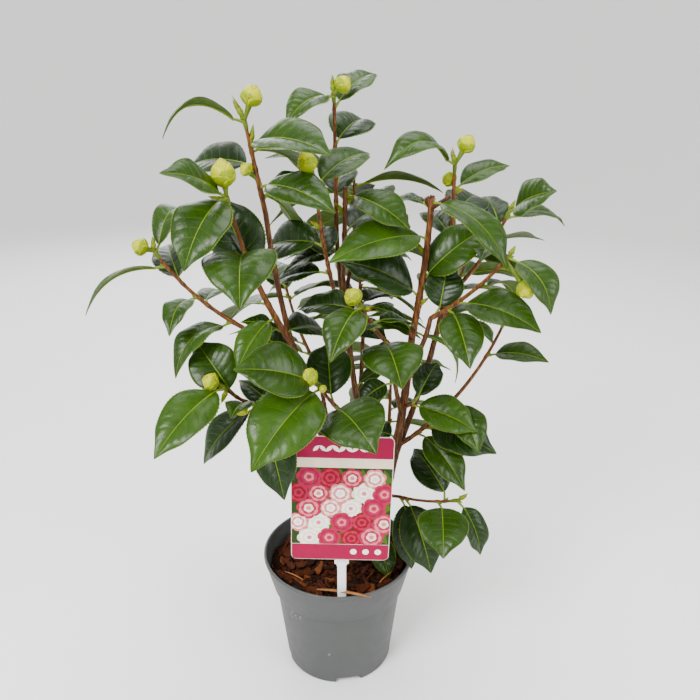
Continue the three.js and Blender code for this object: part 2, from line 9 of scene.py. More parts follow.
import bpy
import numpy as np
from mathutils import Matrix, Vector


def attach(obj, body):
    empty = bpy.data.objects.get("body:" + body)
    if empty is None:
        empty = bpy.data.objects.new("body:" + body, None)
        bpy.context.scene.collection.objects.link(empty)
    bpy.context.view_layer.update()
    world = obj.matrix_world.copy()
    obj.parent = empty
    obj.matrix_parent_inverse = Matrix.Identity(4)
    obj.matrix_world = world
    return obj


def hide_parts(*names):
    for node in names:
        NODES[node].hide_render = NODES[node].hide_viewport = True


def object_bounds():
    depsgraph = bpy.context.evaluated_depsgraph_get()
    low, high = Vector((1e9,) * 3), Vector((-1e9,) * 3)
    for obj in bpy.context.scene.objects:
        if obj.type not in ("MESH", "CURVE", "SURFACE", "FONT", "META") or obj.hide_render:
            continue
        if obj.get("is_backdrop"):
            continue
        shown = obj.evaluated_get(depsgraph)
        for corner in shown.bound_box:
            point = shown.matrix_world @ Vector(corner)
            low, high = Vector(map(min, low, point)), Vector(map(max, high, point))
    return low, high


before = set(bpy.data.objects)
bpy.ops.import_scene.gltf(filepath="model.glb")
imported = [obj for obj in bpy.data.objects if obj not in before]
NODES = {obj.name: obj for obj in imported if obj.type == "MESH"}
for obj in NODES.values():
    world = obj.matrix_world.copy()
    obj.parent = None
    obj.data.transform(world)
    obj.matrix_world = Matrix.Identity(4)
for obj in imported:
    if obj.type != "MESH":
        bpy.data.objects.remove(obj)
CAD_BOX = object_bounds()
MM = 0.001
GAP = 0.3

# ---- camera ------------

CAMERA_PLACE = (11.6, -603.0, 577.0)
CAMERA_PITCH_DOWN = 21.6  # degrees below the horizon, looking along +Y
IMAGE_WIDTH_PX = 700
FOCAL_PX = 720.0
SENSOR_WIDTH = 36.0


def add_camera():
    data = bpy.data.cameras.new("camera")
    data.sensor_width = SENSOR_WIDTH
    data.lens = SENSOR_WIDTH * FOCAL_PX / IMAGE_WIDTH_PX
    camera = bpy.data.objects.new("camera", data)
    camera.location = [value * MM for value in CAMERA_PLACE]
    camera.rotation_euler = (np.radians(90 - CAMERA_PITCH_DOWN), 0, 0)
    bpy.context.scene.collection.objects.link(camera)
    bpy.context.scene.camera = camera


add_camera()

# ---- driving sizes: pot, compost and label ------------

POT = dict(
    height=124, rim_radius=75, collar_foot_radius=66.5, collar_foot=89, body_top_radius=63.5,
    base_radius=54, base_round=2.5, wall=1.6, lip=1.2,
)
NOTCH = dict(count=4, first=281, width=24, height=6.4, depth=9)
POT_FLOOR = 7.6  # top of the floor inside
COMPOST_TOP = 112
COMPOST_CROWN = 2.5
CARD = dict(width=88, height=126, thick=1, round=5, middle_x=4, foot=160, front=-66, roll=-1.5)
STICK = dict(width=8, thick=1.6, foot=98, top=240, clip_width=13, clip_height=4)

# ---- driving sizes: wood ------------

TRUNK = dict(x=28, y=12, compass=335, rise=73, length=50, foot_radius=8.5, tip_radius=6, flare=3.5)

# Limbs: parent, share of it, compass, rise, length, sag, radius at the foot, radius at the tip.
LIMBS = {
    "right_bough": ("trunk", 1, 340, 82, 193, 4, 5.0, 3.3),
    "centre_bough": ("trunk", 1, 149, 80, 242, 6, 3.6, 2.3),
    "left_bough": ("trunk", 1, 206, 66, 214, 14, 4.4, 3.0),
    "mid_left_bough": ("left_bough", 0.45, 186, 77, 228, 8, 3.0, 2.2),
    "far_left_bough": ("left_bough", 0.9, 177, 38, 58, 3, 2.3, 2.0),
    "low_left_bough": ("left_bough", 0.6, 211, 34, 55, 4, 2.2, 1.8),
    "mid_front_bough": ("left_bough", 0.3, 268, 69, 87, 4, 2.4, 2.0),
    "upper_inner_bough": ("centre_bough", 0.7, 239, 68, 74, 4, 2.2, 1.9),
    "top_centre_bough": ("centre_bough", 0.8, 140, 83, 104, 3, 2.2, 2.0),
    "centre_low_bough": ("right_bough", 0.6, 236, 73, 80, 3, 2.3, 2.0),
    "back_right_bough": ("right_bough", 0.35, 41, 67, 159, 6, 3.1, 2.4),
    "top_right_bough": ("back_right_bough", 0.75, 7, 82, 87, 3, 2.3, 2.0),
    "right_out_bough": ("right_bough", 0.85, 330, 69, 54, 3, 2.4, 2.1),
    "mid_right_bough": ("right_bough", 0.64, 300, 30, 10, 0, 1.7, 1.5),
    "right_low_bough": ("right_bough", 0.42, 3, 32, 16, 0, 2.6, 2.2),
    "low_right_bough": ("right_bough", 0.12, 327, 14, 16, 0, 1.6, 1.4),
    "back_low_bough": ("trunk", 0.9, 80, 38, 95, 8, 3.0, 2.2),
    "back_left_bough": ("left_bough", 0.4, 105, 42, 95, 6, 2.4, 2.0),
    "back_middle_bough": ("centre_bough", 0.45, 85, 50, 85, 6, 2.4, 2.0),
    "back_high_bough": ("centre_bough", 0.92, 75, 55, 60, 4, 2.0, 1.8),
    "back_out_bough": ("back_right_bough", 0.45, 70, 30, 70, 6, 2.3, 1.9),
}

# ---- driving sizes: shoots and their leaves ------------

PETIOLE = 9  # from the shoot's axis to the foot of the blade
BLADE_WIDTH = 0.54  # of the blade's length
ARCH = 0.11  # height of the midrib over the straight line from foot to tip, of the length
FOLD = 16  # degrees that each half stands up from the midrib
SHOOT_TIP_RADIUS = 1.3
GOLDEN_TURN = 137.5  # degrees between one dealt leaf and the next

SHOOTS = {}


def shoot(name, on, stem, faces, leaves=(), buds=(), spears=(), more=0, away=0, tones="m"):
    """Notes down a shoot: the bough it grows on, its stem (compass, rise, length, sag), and on it
    leaves: share, compass, rise, length, lean, width, arch. The lean tips the upper face from
            straight up towards the compass that the shoot faces; width and arch may be left out;
    buds:   share, compass, rise, distance of the bud's middle from the stem, diameter, stretch;
    spears: share, compass, rise, length of the pointed leaf bud;
    more:   further leaves that the seeded rule deals out towards the compass `away`;
    tones:  one letter a leaf, fresh, middle or deep green, and over again from the start; the deep
            green is partly painted shade, given mostly to leaves turned back or hanging under others."""
    SHOOTS[name] = dict(
        on=on, stem=stem, faces=faces, leaves=leaves, buds=buds, spears=spears,
        more=more, away=away, tones=tones,
    )


shoot(
    "top_left", "mid_left_bough", (220, 78, 75, 0), 270, tones="mmdmdd",
    leaves=(
        (0.98, 205, -13, 56, -15, 0.5, 0.32), (0.74, 325, -5, 71, 32, 0.6), (0.5, 150, -7, 62, 36, 0.62),
        (0.3, 328, -14, 66, 32, 0.58), (0.68, 50, -28, 60, 10), (0.22, 60, -45, 55, 20),
    ),
    buds=((1, 10, 70, 19, 16, 1.05), (0.38, 200, 45, 13, 10.5, 1)),
    spears=((1, 160, 60, 15), (0.74, 20, 78, 12)),
)
shoot(
    "left_front", "left_bough", (215, 68, 141, 6), 270, tones="mmdmfmd",
    leaves=(
        (0.98, 225, 21, 52, 38, 0.62), (0.99, 245, -41, 64, 34, 0.66, 0.14), (0.5, 148, 62, 62, 60, 0.7),
        (0.66, 275, -19, 70, 30, 0.78, 0.16), (0.22, 235, -38, 50, 25, 0.52), (0.32, 133, -31, 58, 10),
        (0.08, 60, -20, 58, 36, 0.6),
    ),
    buds=((1, 180, 84, 17, 18, 1.2),),
    spears=((0.97, 195, 18, 11),),
)
shoot(
    "far_left", "far_left_bough", (174, 42, 96, 6), 250, tones="mmdmdm",
    leaves=(
        (0.98, 60, 12, 50, 0, 0.6, 0.42), (0.84, 210, -28, 68, -18, 0.4, 0.18), (0.64, 110, 14, 60, 30),
        (0.47, 258, -22, 46, 10, 0.5, 0.2), (0.36, 82, -8, 45, 20), (0.1, 225, -34, 60, 10, 0.48, 0.26),
    ),
    buds=((1, 190, 22, 12, 14, 1),),
    spears=((1, 110, 70, 9),),
)
shoot(
    "mid_front", "mid_front_bough", (234, 49, 56, 2), 270, tones="mfmd",
    leaves=(
        (0.97, 200, 17, 64, 36, 0.78), (0.86, 232, -28, 84, 36, 0.66, 0.14),
        (0.3, 298, -9, 66, 36, 0.84, 0.14), (0.38, 95, 30, 56, 50, 0.7),
    ),
    buds=((1, 190, 38, 10, 15.5, 1.05), (0.92, 300, 0, 6, 5, 1)),
)
shoot(
    "low_left", "low_left_bough", (222, 37, 59, 4), 270, tones="mfdmd",
    leaves=(
        (0.68, 140, 40, 50, 50, 0.8), (0.95, 232, -27, 72, 30, 0.54), (0.25, 185, -50, 64, 20, 0.52),
        (0.4, 262, 10, 40, 20), (0.1, 300, -60, 72, 30, 0.52),
    ),
    buds=((1, 190, 25, 10, 14, 1), (0.5, 250, -30, 9, 10, 1)),
    spears=((0.9, 250, -40, 9),),
)
shoot(
    "centre_low", "centre_low_bough", (220, 52, 56, 3), 270, tones="mdmdd",
    leaves=(
        (0.95, 245, -30, 56, 24, 0.58, 0.16), (0.84, 155, -9, 54, 25, 0.58),
        (0.12, 280, -14, 62, 32, 0.82, 0.12), (0.45, 252, 14, 40, 20), (0.6, 36, -22, 43, 10),
    ),
    buds=((1, 185, 48, 10, 15, 1),),
    spears=((0.9, 340, 20, 7),),
)
shoot(
    "upper_inner", "upper_inner_bough", (251, 68, 109, 4), 270, tones="mddd",
    leaves=(
        (0.92, 50, 14, 62, 28, 0.54), (0.44, 140, -14, 60, 46, 0.68), (0.28, 104, 11, 60, 0),
        (0.18, 150, -26, 60, 20),
    ),
    buds=((1, 160, 64, 14, 14.5, 1.22),),
    spears=((0.6, 200, 40, 9),),
)
shoot(
    "top_centre", "top_centre_bough", (268, 76, 105, -3), 270, tones="mmddd",
    leaves=(
        (0.88, 50, 22, 52, 20, 0.6), (0.98, 222, -26, 46, 26, 0.62, 0.16), (0.58, 65, 12, 54, 40, 0.74),
        (0.12, 85, 14, 60, 20), (0.32, 170, 10, 56, 6),
    ),
    buds=((1, 5, 45, 11, 13.5, 1.05),),
    spears=((1, 120, 78, 11),),
)
shoot(
    "centre_stub", "centre_bough", (276, 74, 85, 3), 270, tones="mddd",
    leaves=(
        (0.93, 335, -26, 56, 30, 0.64), (0.31, 200, -18, 50, 10), (0.52, 60, 2, 60, 20),
        (0.34, 30, -18, 66, 20),
    ),
    spears=((0.86, 20, 40, 9), (0.75, 200, 50, 10)),
)
shoot(
    "leader", "right_bough", (5, 84, 124, 2), 270, tones="dfmmdf",
    leaves=(
        (0.3, 180, 22, 70, 30, 0.7), (0.72, 204, -10, 84, 34, 0.5), (0.42, 10, 36, 66, 36, 0.6),
        (0.97, 323, -36, 78, 10, 0.5, 0.16), (0.93, 140, -8, 40, 10, 0.5),
        (0.05, 350, -55, 54, 0, 0.34, 0.26),
    ),
    spears=((0.6, 165, 55, 12), (0.25, 330, 40, 9)),
)
shoot(
    "mid_right", "mid_right_bough", (300, 38, 9, 0), 270, tones="fd",
    leaves=((0.4, 342, -18, 56, 34, 0.66), (0.9, 60, 24, 44, 30, 0.6)),
)
shoot(
    "top_right", "top_right_bough", (251, 85, 77, 2), 270, tones="mmdd",
    leaves=(
        (1, 207, -4, 62, 24, 0.54, 0.34), (0.7, 20, 16, 50, 20, 0.56), (0.35, 60, 11, 50, 36, 0.8),
        (0.1, 109, 11, 55, 20),
    ),
    buds=((1, 5, 62, 20, 15, 1.1), (0.8, 120, 20, 8, 12, 1.1)),
    spears=((1, 150, 74, 11), (0.7, 20, 10, 8)),
)
shoot(
    "right_upper", "back_right_bough", (347, 58, 99, 5), 270, tones="mdmdd",
    leaves=(
        (0.98, 312, 26, 44, 46, 0.84), (0.66, 250, -4, 54, 10, 0.5), (0.93, 15, -13, 52, 12, 0.54, 0.18),
        (0.8, 98, 19, 50, 20), (0.55, 126, 3, 55, 20),
    ),
    spears=((1, 40, 50, 9),),
)
shoot(
    "right_out", "right_out_bough", (338, 44, 87, 4), 270, tones="mmdmdd",
    leaves=(
        (0.32, 325, -11, 68, 30, 0.6), (0.2, 280, -32, 58, 40, 0.62), (0.05, 71, 52, 40, 50, 0.86),
        (0.99, 315, -47, 50, 18, 0.62, 0.22), (0.6, 40, -30, 50, -10, 0.44, 0.2),
        (0.86, 16, -40, 56, 0, 0.44),
    ),
    buds=((0.96, 300, -35, 32, 14, 1.15),),
    spears=((1, 30, 50, 8),),
)
shoot(
    "right_low", "right_low_bough", (3, 55, 142, 10), 270, tones="mmmdd",
    leaves=(
        (0.74, 335, 0, 48, 22, 0.56), (0.36, 290, -34, 50, 30, 0.66), (0.05, 312, -35, 62, 24, 0.52),
        (0.1, 335, -11, 64, 44, 0.6, 0.16), (0.32, 350, -52, 44, 20, 0.6),
    ),
    spears=((0.12, 20, 20, 9),),
)
shoot(
    "low_right", "low_right_bough", (331, 14, 62, 3), 270, tones="dmddd",
    leaves=(
        (0.78, 120, 22, 56, 40, 0.64), (0.66, 266, -24, 52, 40, 0.88), (0.98, 320, -64, 48, 10, 0.56),
        (0.1, 300, -55, 66, 30, 0.62), (0.02, 285, -66, 62, 30, 0.5),
    ),
    spears=((1, 350, 40, 9),),
)
shoot("back_low", "back_low_bough", (85, 48, 75, 6), 90, more=7, away=85, tones="md")
shoot("back_left", "back_left_bough", (130, 55, 90, 6), 120, more=8, away=135, tones="dm")
shoot("back_middle", "back_middle_bough", (95, 55, 90, 6), 90, more=8, away=90, tones="dmf")
shoot("back_high", "back_high_bough", (90, 68, 60, 4), 90, more=7, away=85, tones="md")
shoot("back_out", "back_out_bough", (55, 50, 95, 6), 60, more=8, away=50, tones="mmf")

MASSES = [f"{name}_leaves" for name in SHOOTS]

# ---- vectors and lines ------------

UP = np.array([0.0, 0.0, 1.0])


def heading(compass, rise):
    """The unit vector of a compass and a rise."""
    a, b = np.radians(compass), np.radians(rise)
    return np.array([np.cos(a) * np.cos(b), np.sin(a) * np.cos(b), np.sin(b)])


def unit(v):
    return v / np.linalg.norm(v, axis=-1, keepdims=True)


def square(wanted, along):
    """The unit part of `wanted` that is square to `along`."""
    return unit(wanted - np.sum(wanted * along, axis=-1, keepdims=True) * along)


def sagging(start, compass, rise, length, sag):
    """A limb's line as the three points of an arc: foot, drawn-down middle, tip."""
    chord = heading(compass, rise)
    end = start + chord * length
    return np.array([start, (start + end) / 2 - square(UP, chord) * 2 * sag, end])


def place_on(line, share):
    """Points of the quadratic curve a(1-s)^2 + 2b s(1-s) + c s^2."""
    s = np.asarray(share, float)[..., None]
    return line[0] * (1 - s) ** 2 + line[1] * (2 * s * (1 - s)) + line[2] * s**2


def course_of(line, share):
    """Unit tangents of the same curve."""
    s = np.asarray(share, float)[..., None]
    return unit((line[1] - line[0]) * (1 - s) + (line[2] - line[1]) * s)


def steps(count, start=0.0, end=1.0):
    return np.linspace(start, end, count)


def around(count):
    """Angles evenly spaced over a full turn."""
    return steps(count + 1, 0, 2 * np.pi)[:-1]


def ringed(side, over, count):
    """Directions round an axis, from the two that are square to it."""
    turn = around(count)[:, None]
    return np.cos(turn) * side[..., None, :] + np.sin(turn) * over[..., None, :]


def xyz(x, y, z):
    """Points from their coordinates, drawn out to one shape."""
    return np.stack(np.broadcast_arrays(x, y, z), axis=-1)


def spun(points, angle, first, second):
    """Points turned from one axis towards another, the axes given by number."""
    turned = points.copy()
    turned[..., first] = np.cos(angle) * points[..., first] - np.sin(angle) * points[..., second]
    turned[..., second] = np.sin(angle) * points[..., first] + np.cos(angle) * points[..., second]
    return turned


def smooth(x):
    """0 below 0, 1 above 1, and 3x^2 - 2x^3 between."""
    x = np.clip(x, 0, 1)
    return x * x * (3 - 2 * x)


# ---- meshes ------------


class Pile:
    """Surfaces gathered as arrays of points and faces, to be joined into one piece."""

    def __init__(self):
        self.points, self.faces, self.paints, self.flat, self.count = [], [], [], [], 0

    def grid(self, points, closed=True, paint=0, flat=None):
        """A grid of points, rows by columns. When it is closed, each row runs back to its start and
        the first and last row are capped. `paint` is a material's place, one number or one for each
        column, and `flat` the points' places on the surface laid flat."""
        rows, cols = points.shape[:2]
        at = np.arange(rows * cols).reshape(rows, cols) + self.count
        right = np.roll(at, -1, axis=1) if closed else at[:, 1:]
        left = at if closed else at[:, :-1]
        quads = np.stack([left[:-1], right[:-1], right[1:], left[1:]], axis=-1)
        self.faces += quads.reshape(-1, 4).tolist()
        tint = np.broadcast_to(paint, quads.shape[:2])
        self.paints += tint.ravel().tolist()
        if closed:
            self.faces += [at[0, ::-1].tolist(), at[-1].tolist()]
            self.paints += [int(tint[0, 0]), int(tint[-1, 0])]
        self.points.append(points.reshape(-1, 3))
        self.flat.append(np.zeros((rows * cols, 2)) if flat is None else flat.reshape(-1, 2))
        self.count += rows * cols

    def make(self, name, slot, replaced, *materials, shade_smooth=True):
        """The piece: its mesh in metres at the origin, riding on the plant's one body."""
        mesh = bpy.data.meshes.new(name)
        points = np.concatenate(self.points) * MM
        mesh.from_pydata(points.tolist(), [], self.faces)
        for material in materials:
            mesh.materials.append(material)
        mesh.polygons.foreach_set("material_index", self.paints)
        mesh.polygons.foreach_set("use_smooth", [shade_smooth] * len(self.faces))
        corners = np.zeros(len(mesh.loops), int)
        mesh.loops.foreach_get("vertex_index", corners)
        layer = mesh.uv_layers.new(name="surface")
        layer.data.foreach_set("uv", np.concatenate(self.flat)[corners].ravel())
        mesh.update()
        piece = bpy.data.objects.new(name, mesh)
        bpy.context.scene.collection.objects.link(piece)
        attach(piece, "root")
        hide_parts(*replaced)

    def grow(self, name, *materials):
        """The piece, in the place of all the masses."""
        self.make(name, "foliage", MASSES, *materials)


ASKEW = np.array([0.31, 0.87, 0.11])  # a direction that no limb takes
FLAT_SCALE = 100  # millimetres to one unit of the flat surface, along a tube


def tube(line, radii, sides, rings, relief=None):
    """Rings round a curve: the row at share s lies square to the curve, at radius r(s) times one
    plus the relief at (angle, length along)."""
    s = steps(rings)
    along = course_of(line, s)
    side = unit(np.cross(along, ASKEW))
    radius = radii(s)[:, None] * np.ones(sides)
    if relief is not None:
        radius = radius * (1 + relief(around(sides), s[:, None] * np.linalg.norm(line[2] - line[0])))
    return place_on(line, s)[:, None, :] + ringed(side, np.cross(along, side), sides) * radius[..., None]


def unrolled(line, sides, rings):
    """A tube's surface laid flat: the share of a turn round it, and the length along it."""
    length = steps(rings)[:, None] * np.linalg.norm(line[2] - line[0])
    return np.stack(np.broadcast_arrays(around(sides) / (2 * np.pi), length / FLAT_SCALE), axis=-1)


def bark(seed, depth, rings_every=0.0):
    """Relief of bark: a sum of waves that run round and along at seeded pitches, and a raised ring at
    each leaf scar."""
    draw = np.random.default_rng(seed)
    waves = [
        (draw.integers(2, 9), draw.uniform(0.02, 0.5), draw.uniform(0, 6.28), draw.uniform(0.4, 1))
        for _ in range(7)
    ]

    def relief(turn, along):
        total = sum(size * np.sin(k * turn + m * along + phase) for k, m, phase, size in waves)
        total = total * depth / 3
        if rings_every:
            total = total + 2.2 * depth * np.cos(np.pi * along / rings_every) ** 24
        return total

    return relief


def revolved(profile, sides, lift=None):
    """Rings of a profile of (radius, height) points carried round the upright axis. `lift` gives
    heights that depend on (angle, radius, height)."""
    turn = around(sides)
    r, z = np.array(profile, float).T[..., None]
    return xyz(r * np.cos(turn), r * np.sin(turn), z if lift is None else lift(turn, r, z))


# ---- materials ------------


class Finish:
    """A Principled material with its nodes added one by one."""

    def __init__(self, name, colour, roughness, **constants):
        self.material = bpy.data.materials.new(name)
        self.material.use_nodes = True
        self.nodes = self.material.node_tree.nodes
        self.links = self.material.node_tree.links
        self.shader = self.nodes["Principled BSDF"]
        self.shader.inputs["Base Color"].default_value = (*colour, 1)
        self.shader.inputs["Roughness"].default_value = roughness
        for socket, value in constants.items():
            self.shader.inputs[socket.replace("_", " ")].default_value = value
        self.coordinates = self.nodes.new("ShaderNodeTexCoord")

    def stretched(self, scale):
        """Object coordinates stretched by a scale for each axis."""
        mapping = self.nodes.new("ShaderNodeMapping")
        mapping.inputs["Scale"].default_value = scale
        self.links.new(self.coordinates.outputs["Object"], mapping.inputs["Vector"])
        return mapping.outputs["Vector"]

    def noise(self, scale, detail=3, rough=0.55, distortion=0.0, vector=None):
        node = self.nodes.new("ShaderNodeTexNoise")
        node.inputs["Scale"].default_value = scale
        node.inputs["Detail"].default_value = detail
        node.inputs["Roughness"].default_value = rough
        node.inputs["Distortion"].default_value = distortion
        self.links.new(vector or self.coordinates.outputs["Object"], node.inputs["Vector"])
        return node.outputs["Fac"]

    def cells(self, scale):
        node = self.nodes.new("ShaderNodeTexVoronoi")
        node.feature = "DISTANCE_TO_EDGE"
        node.inputs["Scale"].default_value = scale
        self.links.new(self.coordinates.outputs["Object"], node.inputs["Vector"])
        return node.outputs["Distance"]

    def ramp(self, value, *stops):
        """Colours at places from 0 to 1."""
        node = self.nodes.new("ShaderNodeValToRGB")
        elements = node.color_ramp.elements
        while len(elements) < len(stops):
            elements.new(0.5)
        for element, (place, colour) in zip(elements, stops):
            element.position = place
            element.color = (*colour, 1)
        self.links.new(value, node.inputs["Fac"])
        return node.outputs["Color"]

    def between(self, value, low, high):
        """The value's range 0 to 1 drawn to low to high."""
        node = self.nodes.new("ShaderNodeMapRange")
        node.inputs["To Min"].default_value = low
        node.inputs["To Max"].default_value = high
        self.links.new(value, node.inputs["Value"])
        return node.outputs["Result"]

    def colour(self, value):
        self.links.new(value, self.shader.inputs["Base Color"])

    def mottle(self, value, colour, spread, low=0.3, high=0.7, middle=None):
        """Colours the surface from a darker to a lighter shade, between two places of a value."""
        dark, light = tints(colour, spread)
        between = [] if middle is None else [(middle, colour)]
        self.colour(self.ramp(value, (low, dark), *between, (high, light)))

    def roughness(self, value):
        self.links.new(value, self.shader.inputs["Roughness"])

    def bump(self, *heights):
        """Heights as (value, strength, metres), one on another."""
        normal = None
        for value, strength, distance in heights:
            node = self.nodes.new("ShaderNodeBump")
            node.inputs["Strength"].default_value = strength
            node.inputs["Distance"].default_value = distance
            self.links.new(value, node.inputs["Height"])
            if normal is not None:
                self.links.new(normal, node.inputs["Normal"])
            normal = node.outputs["Normal"]
        self.links.new(normal, self.shader.inputs["Normal"])


def tints(colour, spread):
    """A darker and a lighter colour round a colour."""
    return tuple(c * (1 - spread) for c in colour), tuple(min(1, c * (1 + spread)) for c in colour)


def leaf_upper(name, colour):
    """Glossy leather: mottled green, with fine wrinkles and a net of small veins pressed into it."""
    finish = Finish(name, colour, 0.3, Specular_IOR_Level=0.24)
    finish.mottle(finish.noise(45, 4, 0.6), colour, 0.28, 0.3, 0.72, 0.5)
    finish.roughness(finish.between(finish.noise(140, 2), 0.2, 0.4))
    finish.bump((finish.cells(480), 0.3, 0.0002), (finish.noise(260, 4, 0.6, 0.6), 0.5, 0.0006))
    return finish.material


def leaf_under():
    """Matte and paler, with the net of veins standing out."""
    colour = (0.055, 0.095, 0.012)
    finish = Finish("leaf_underside", colour, 0.55, Specular_IOR_Level=0.3)
    finish.mottle(finish.noise(60, 3), colour, 0.2)
    finish.bump((finish.cells(420), 0.3, 0.0002))
    return finish.material


def plain_green(name, colour):
    finish = Finish(name, colour, 0.4, Specular_IOR_Level=0.22)
    finish.mottle(finish.noise(150, 2), colour, 0.12, 0.35, 0.65)
    return finish.material


SPECK = (0.16, 0.085, 0.015)


def bud_skin(name, colour):
    """Silky bud scale: faint lengthwise shading and a few small brown specks."""
    finish = Finish(name, colour, 0.42, Specular_IOR_Level=0.14)
    dark, light = tints(colour, 0.16)
    stops = (0.3, light), (0.55, colour), (0.70, dark), (0.745, SPECK)
    finish.colour(finish.ramp(finish.noise(620, 2, 0.5), *stops))
    finish.bump((finish.noise(500, 3), 0.3, 0.0002))
    return finish.material


def wood(name, low, middle, high, roughness, pitch=(620, 620, 70), depth=0.0005):
    """Bark: long streaks, cork spots and fine cracks."""
    finish = Finish(name, middle, roughness, Specular_IOR_Level=0.18)
    streaks = finish.noise(1, 5, 0.6, 0.4, finish.stretched(pitch))
    finish.colour(finish.ramp(streaks, (0.34, low), (0.5, middle), (0.68, high)))
    finish.roughness(finish.between(streaks, roughness - 0.12, roughness + 0.12))
    finish.bump((streaks, 0.7, depth), (finish.noise(900, 2), 0.4, 0.0002))
    return finish.material


def pot_plastic():
    colour = (0.0555, 0.058, 0.0565)
    finish = Finish("pot_plastic", colour, 0.5, Specular_IOR_Level=0.32)
    finish.mottle(finish.noise(14, 5, 0.6), colour, 0.07)
    finish.roughness(finish.between(finish.noise(90, 4), 0.4, 0.62))
    finish.bump((finish.noise(700, 3), 0.25, 0.0001), (finish.noise(25, 3), 0.15, 0.0004))
    return finish.material


def peat():
    finish = Finish("peat", (0.02, 0.010, 0.006), 0.95, Specular_IOR_Level=0.08)
    crumbs = finish.noise(320, 6, 0.7)
    finish.colour(finish.ramp(crumbs, (0.3, (0.008, 0.004, 0.002)), (0.55, (0.026, 0.012, 0.006)),
                              (0.8, (0.07, 0.03, 0.014))))
    finish.bump((crumbs, 1.0, 0.003))
    return finish.material


def bark_chip(name, colour):
    finish = Finish(name, colour, 0.8, Specular_IOR_Level=0.1)
    grain = finish.noise(1, 5, 0.65, 0.5, finish.stretched((380, 160, 420)))
    finish.mottle(grain, colour, 0.45, 0.28, 0.76, 0.5)
    finish.bump((grain, 0.8, 0.0008))
    return finish.material


def print_ink(name, colour, roughness=0.4):
    finish = Finish(name, colour, roughness, Specular_IOR_Level=0.12)
    finish.mottle(finish.noise(120, 2), colour, 0.04)
    return finish.material


def white_plastic():
    finish = Finish("white_plastic", (0.78, 0.8, 0.79), 0.38, Specular_IOR_Level=0.5)
    finish.roughness(finish.between(finish.noise(150, 3), 0.3, 0.48))
    finish.bump((finish.noise(60, 2), 0.1, 0.0003))
    return finish.material


# ---- trunk, boughs and stems ------------

LINES = {}


def trunk_rings(count=40, sides=44):
    """Level rings up the trunk's line: radius from foot to tip, the root flare fading as (1-s)^6 in
    three lobes, and the bark's relief."""
    start = np.array([TRUNK["x"], TRUNK["y"], COMPOST_TOP + GAP])
    LINES["trunk"] = sagging(start, TRUNK["compass"], TRUNK["rise"], TRUNK["length"], 0)
    s = steps(count)[:, None]
    turn = around(sides)
    radius = TRUNK["foot_radius"] * (1 - s) + TRUNK["tip_radius"] * s
    radius = radius + TRUNK["flare"] * (1 - s) ** 6 * (0.6 + 0.4 * np.cos(3 * turn))
    radius = radius * (1 + bark(5, 0.05)(turn, s * TRUNK["length"]))
    return place_on(LINES["trunk"], s) + xyz(np.cos(turn) * radius, np.sin(turn) * radius, 0)


def make_trunk():
    pile = Pile()
    pile.grid(trunk_rings())
    material = wood("trunk_bark", (0.018, 0.009, 0.004), (0.06, 0.030, 0.014), (0.16, 0.09, 0.05), 0.8)
    pile.make("trunk_wood", "wood", ["trunk"], material)


SCAR_SPACING = 23  # between the rings that fallen leaves leave on a bough


def make_boughs():
    """Each limb tapers evenly from its foot, on its parent's line, and swells a little at the foot."""
    pile = Pile()
    for seed, (name, row) in enumerate(LIMBS.items()):
        parent, share, compass, rise, length, sag, foot, tip = row
        line = sagging(place_on(LINES[parent], share), compass, rise, length, sag)
        LINES[name] = line

        def radii(s):
            return foot + (tip - foot) * s + 0.35 * foot * np.exp(-s * length / 7)

        rings = max(6, int(length / 1.6))
        points = tube(line, radii, 18, rings, bark(seed + 20, 0.034, SCAR_SPACING))
        pile.grid(points, flat=unrolled(line, 18, rings))
    material = wood("bough_bark", (0.020, 0.007, 0.002), (0.074, 0.026, 0.006), (0.19, 0.08, 0.026), 0.6)
    pile.make("bough_wood", "wood", list(LIMBS), material)


CUT_TIPS = {"leader": 2.5, "centre_stub": 2.0}  # radius that a pruned shoot keeps at its top


def make_stems():
    """A shoot's stem runs on from the tip of its bough and swells under each leaf and bud."""
    pile = Pile()
    for seed, (name, row) in enumerate(SHOOTS.items()):
        compass, rise, length, sag = row["stem"]
        line = sagging(place_on(LINES[row["on"]], 1), compass, rise, length, sag)
        LINES[name] = line
        foot, end = LIMBS[row["on"]][7], CUT_TIPS.get(name, SHOOT_TIP_RADIUS)
        knots = np.array([leaf[0] for leaf in (*row["leaves"], *row["buds"], *row["spears"])] or [0.5])

        def radii(s):
            knot = np.exp(-(((s[:, None] - knots) * length / 2.2) ** 2)).max(axis=1)
            return foot + (end - foot) * s + 0.45 * knot

        rings = max(6, int(length / 1.5))
        points = tube(line, radii, 12, rings, bark(seed + 60, 0.03))
        pile.grid(points, flat=unrolled(line, 12, rings))
    material = wood("stem_bark", (0.028, 0.009, 0.002), (0.10, 0.032, 0.006), (0.22, 0.085, 0.02), 0.5,
                    (800, 800, 110), 0.0004)
    pile.grow("stem_wood", material)


CUTS = {  # limb or stem, share, compass, rise, length, radius at the foot and at the cut
    "leader_fork_left": ("leader", 0.94, 178, 58, 9, 2.5, 2.9),
    "leader_fork_right": ("leader", 0.93, 352, 34, 19, 2.2, 1.4),
    "leader_top": ("leader", 0.985, 40, 80, 4, 2.2, 2.3),
    "centre_top": ("centre_stub", 0.97, 100, 84, 5, 2.0, 2.2),
    "inner_spur": ("mid_left_bough", 0.3, 120, 62, 22, 1.8, 1.5),
    "low_spur": ("right_bough", 0.22, 200, 48, 12, 1.9, 1.7),
}


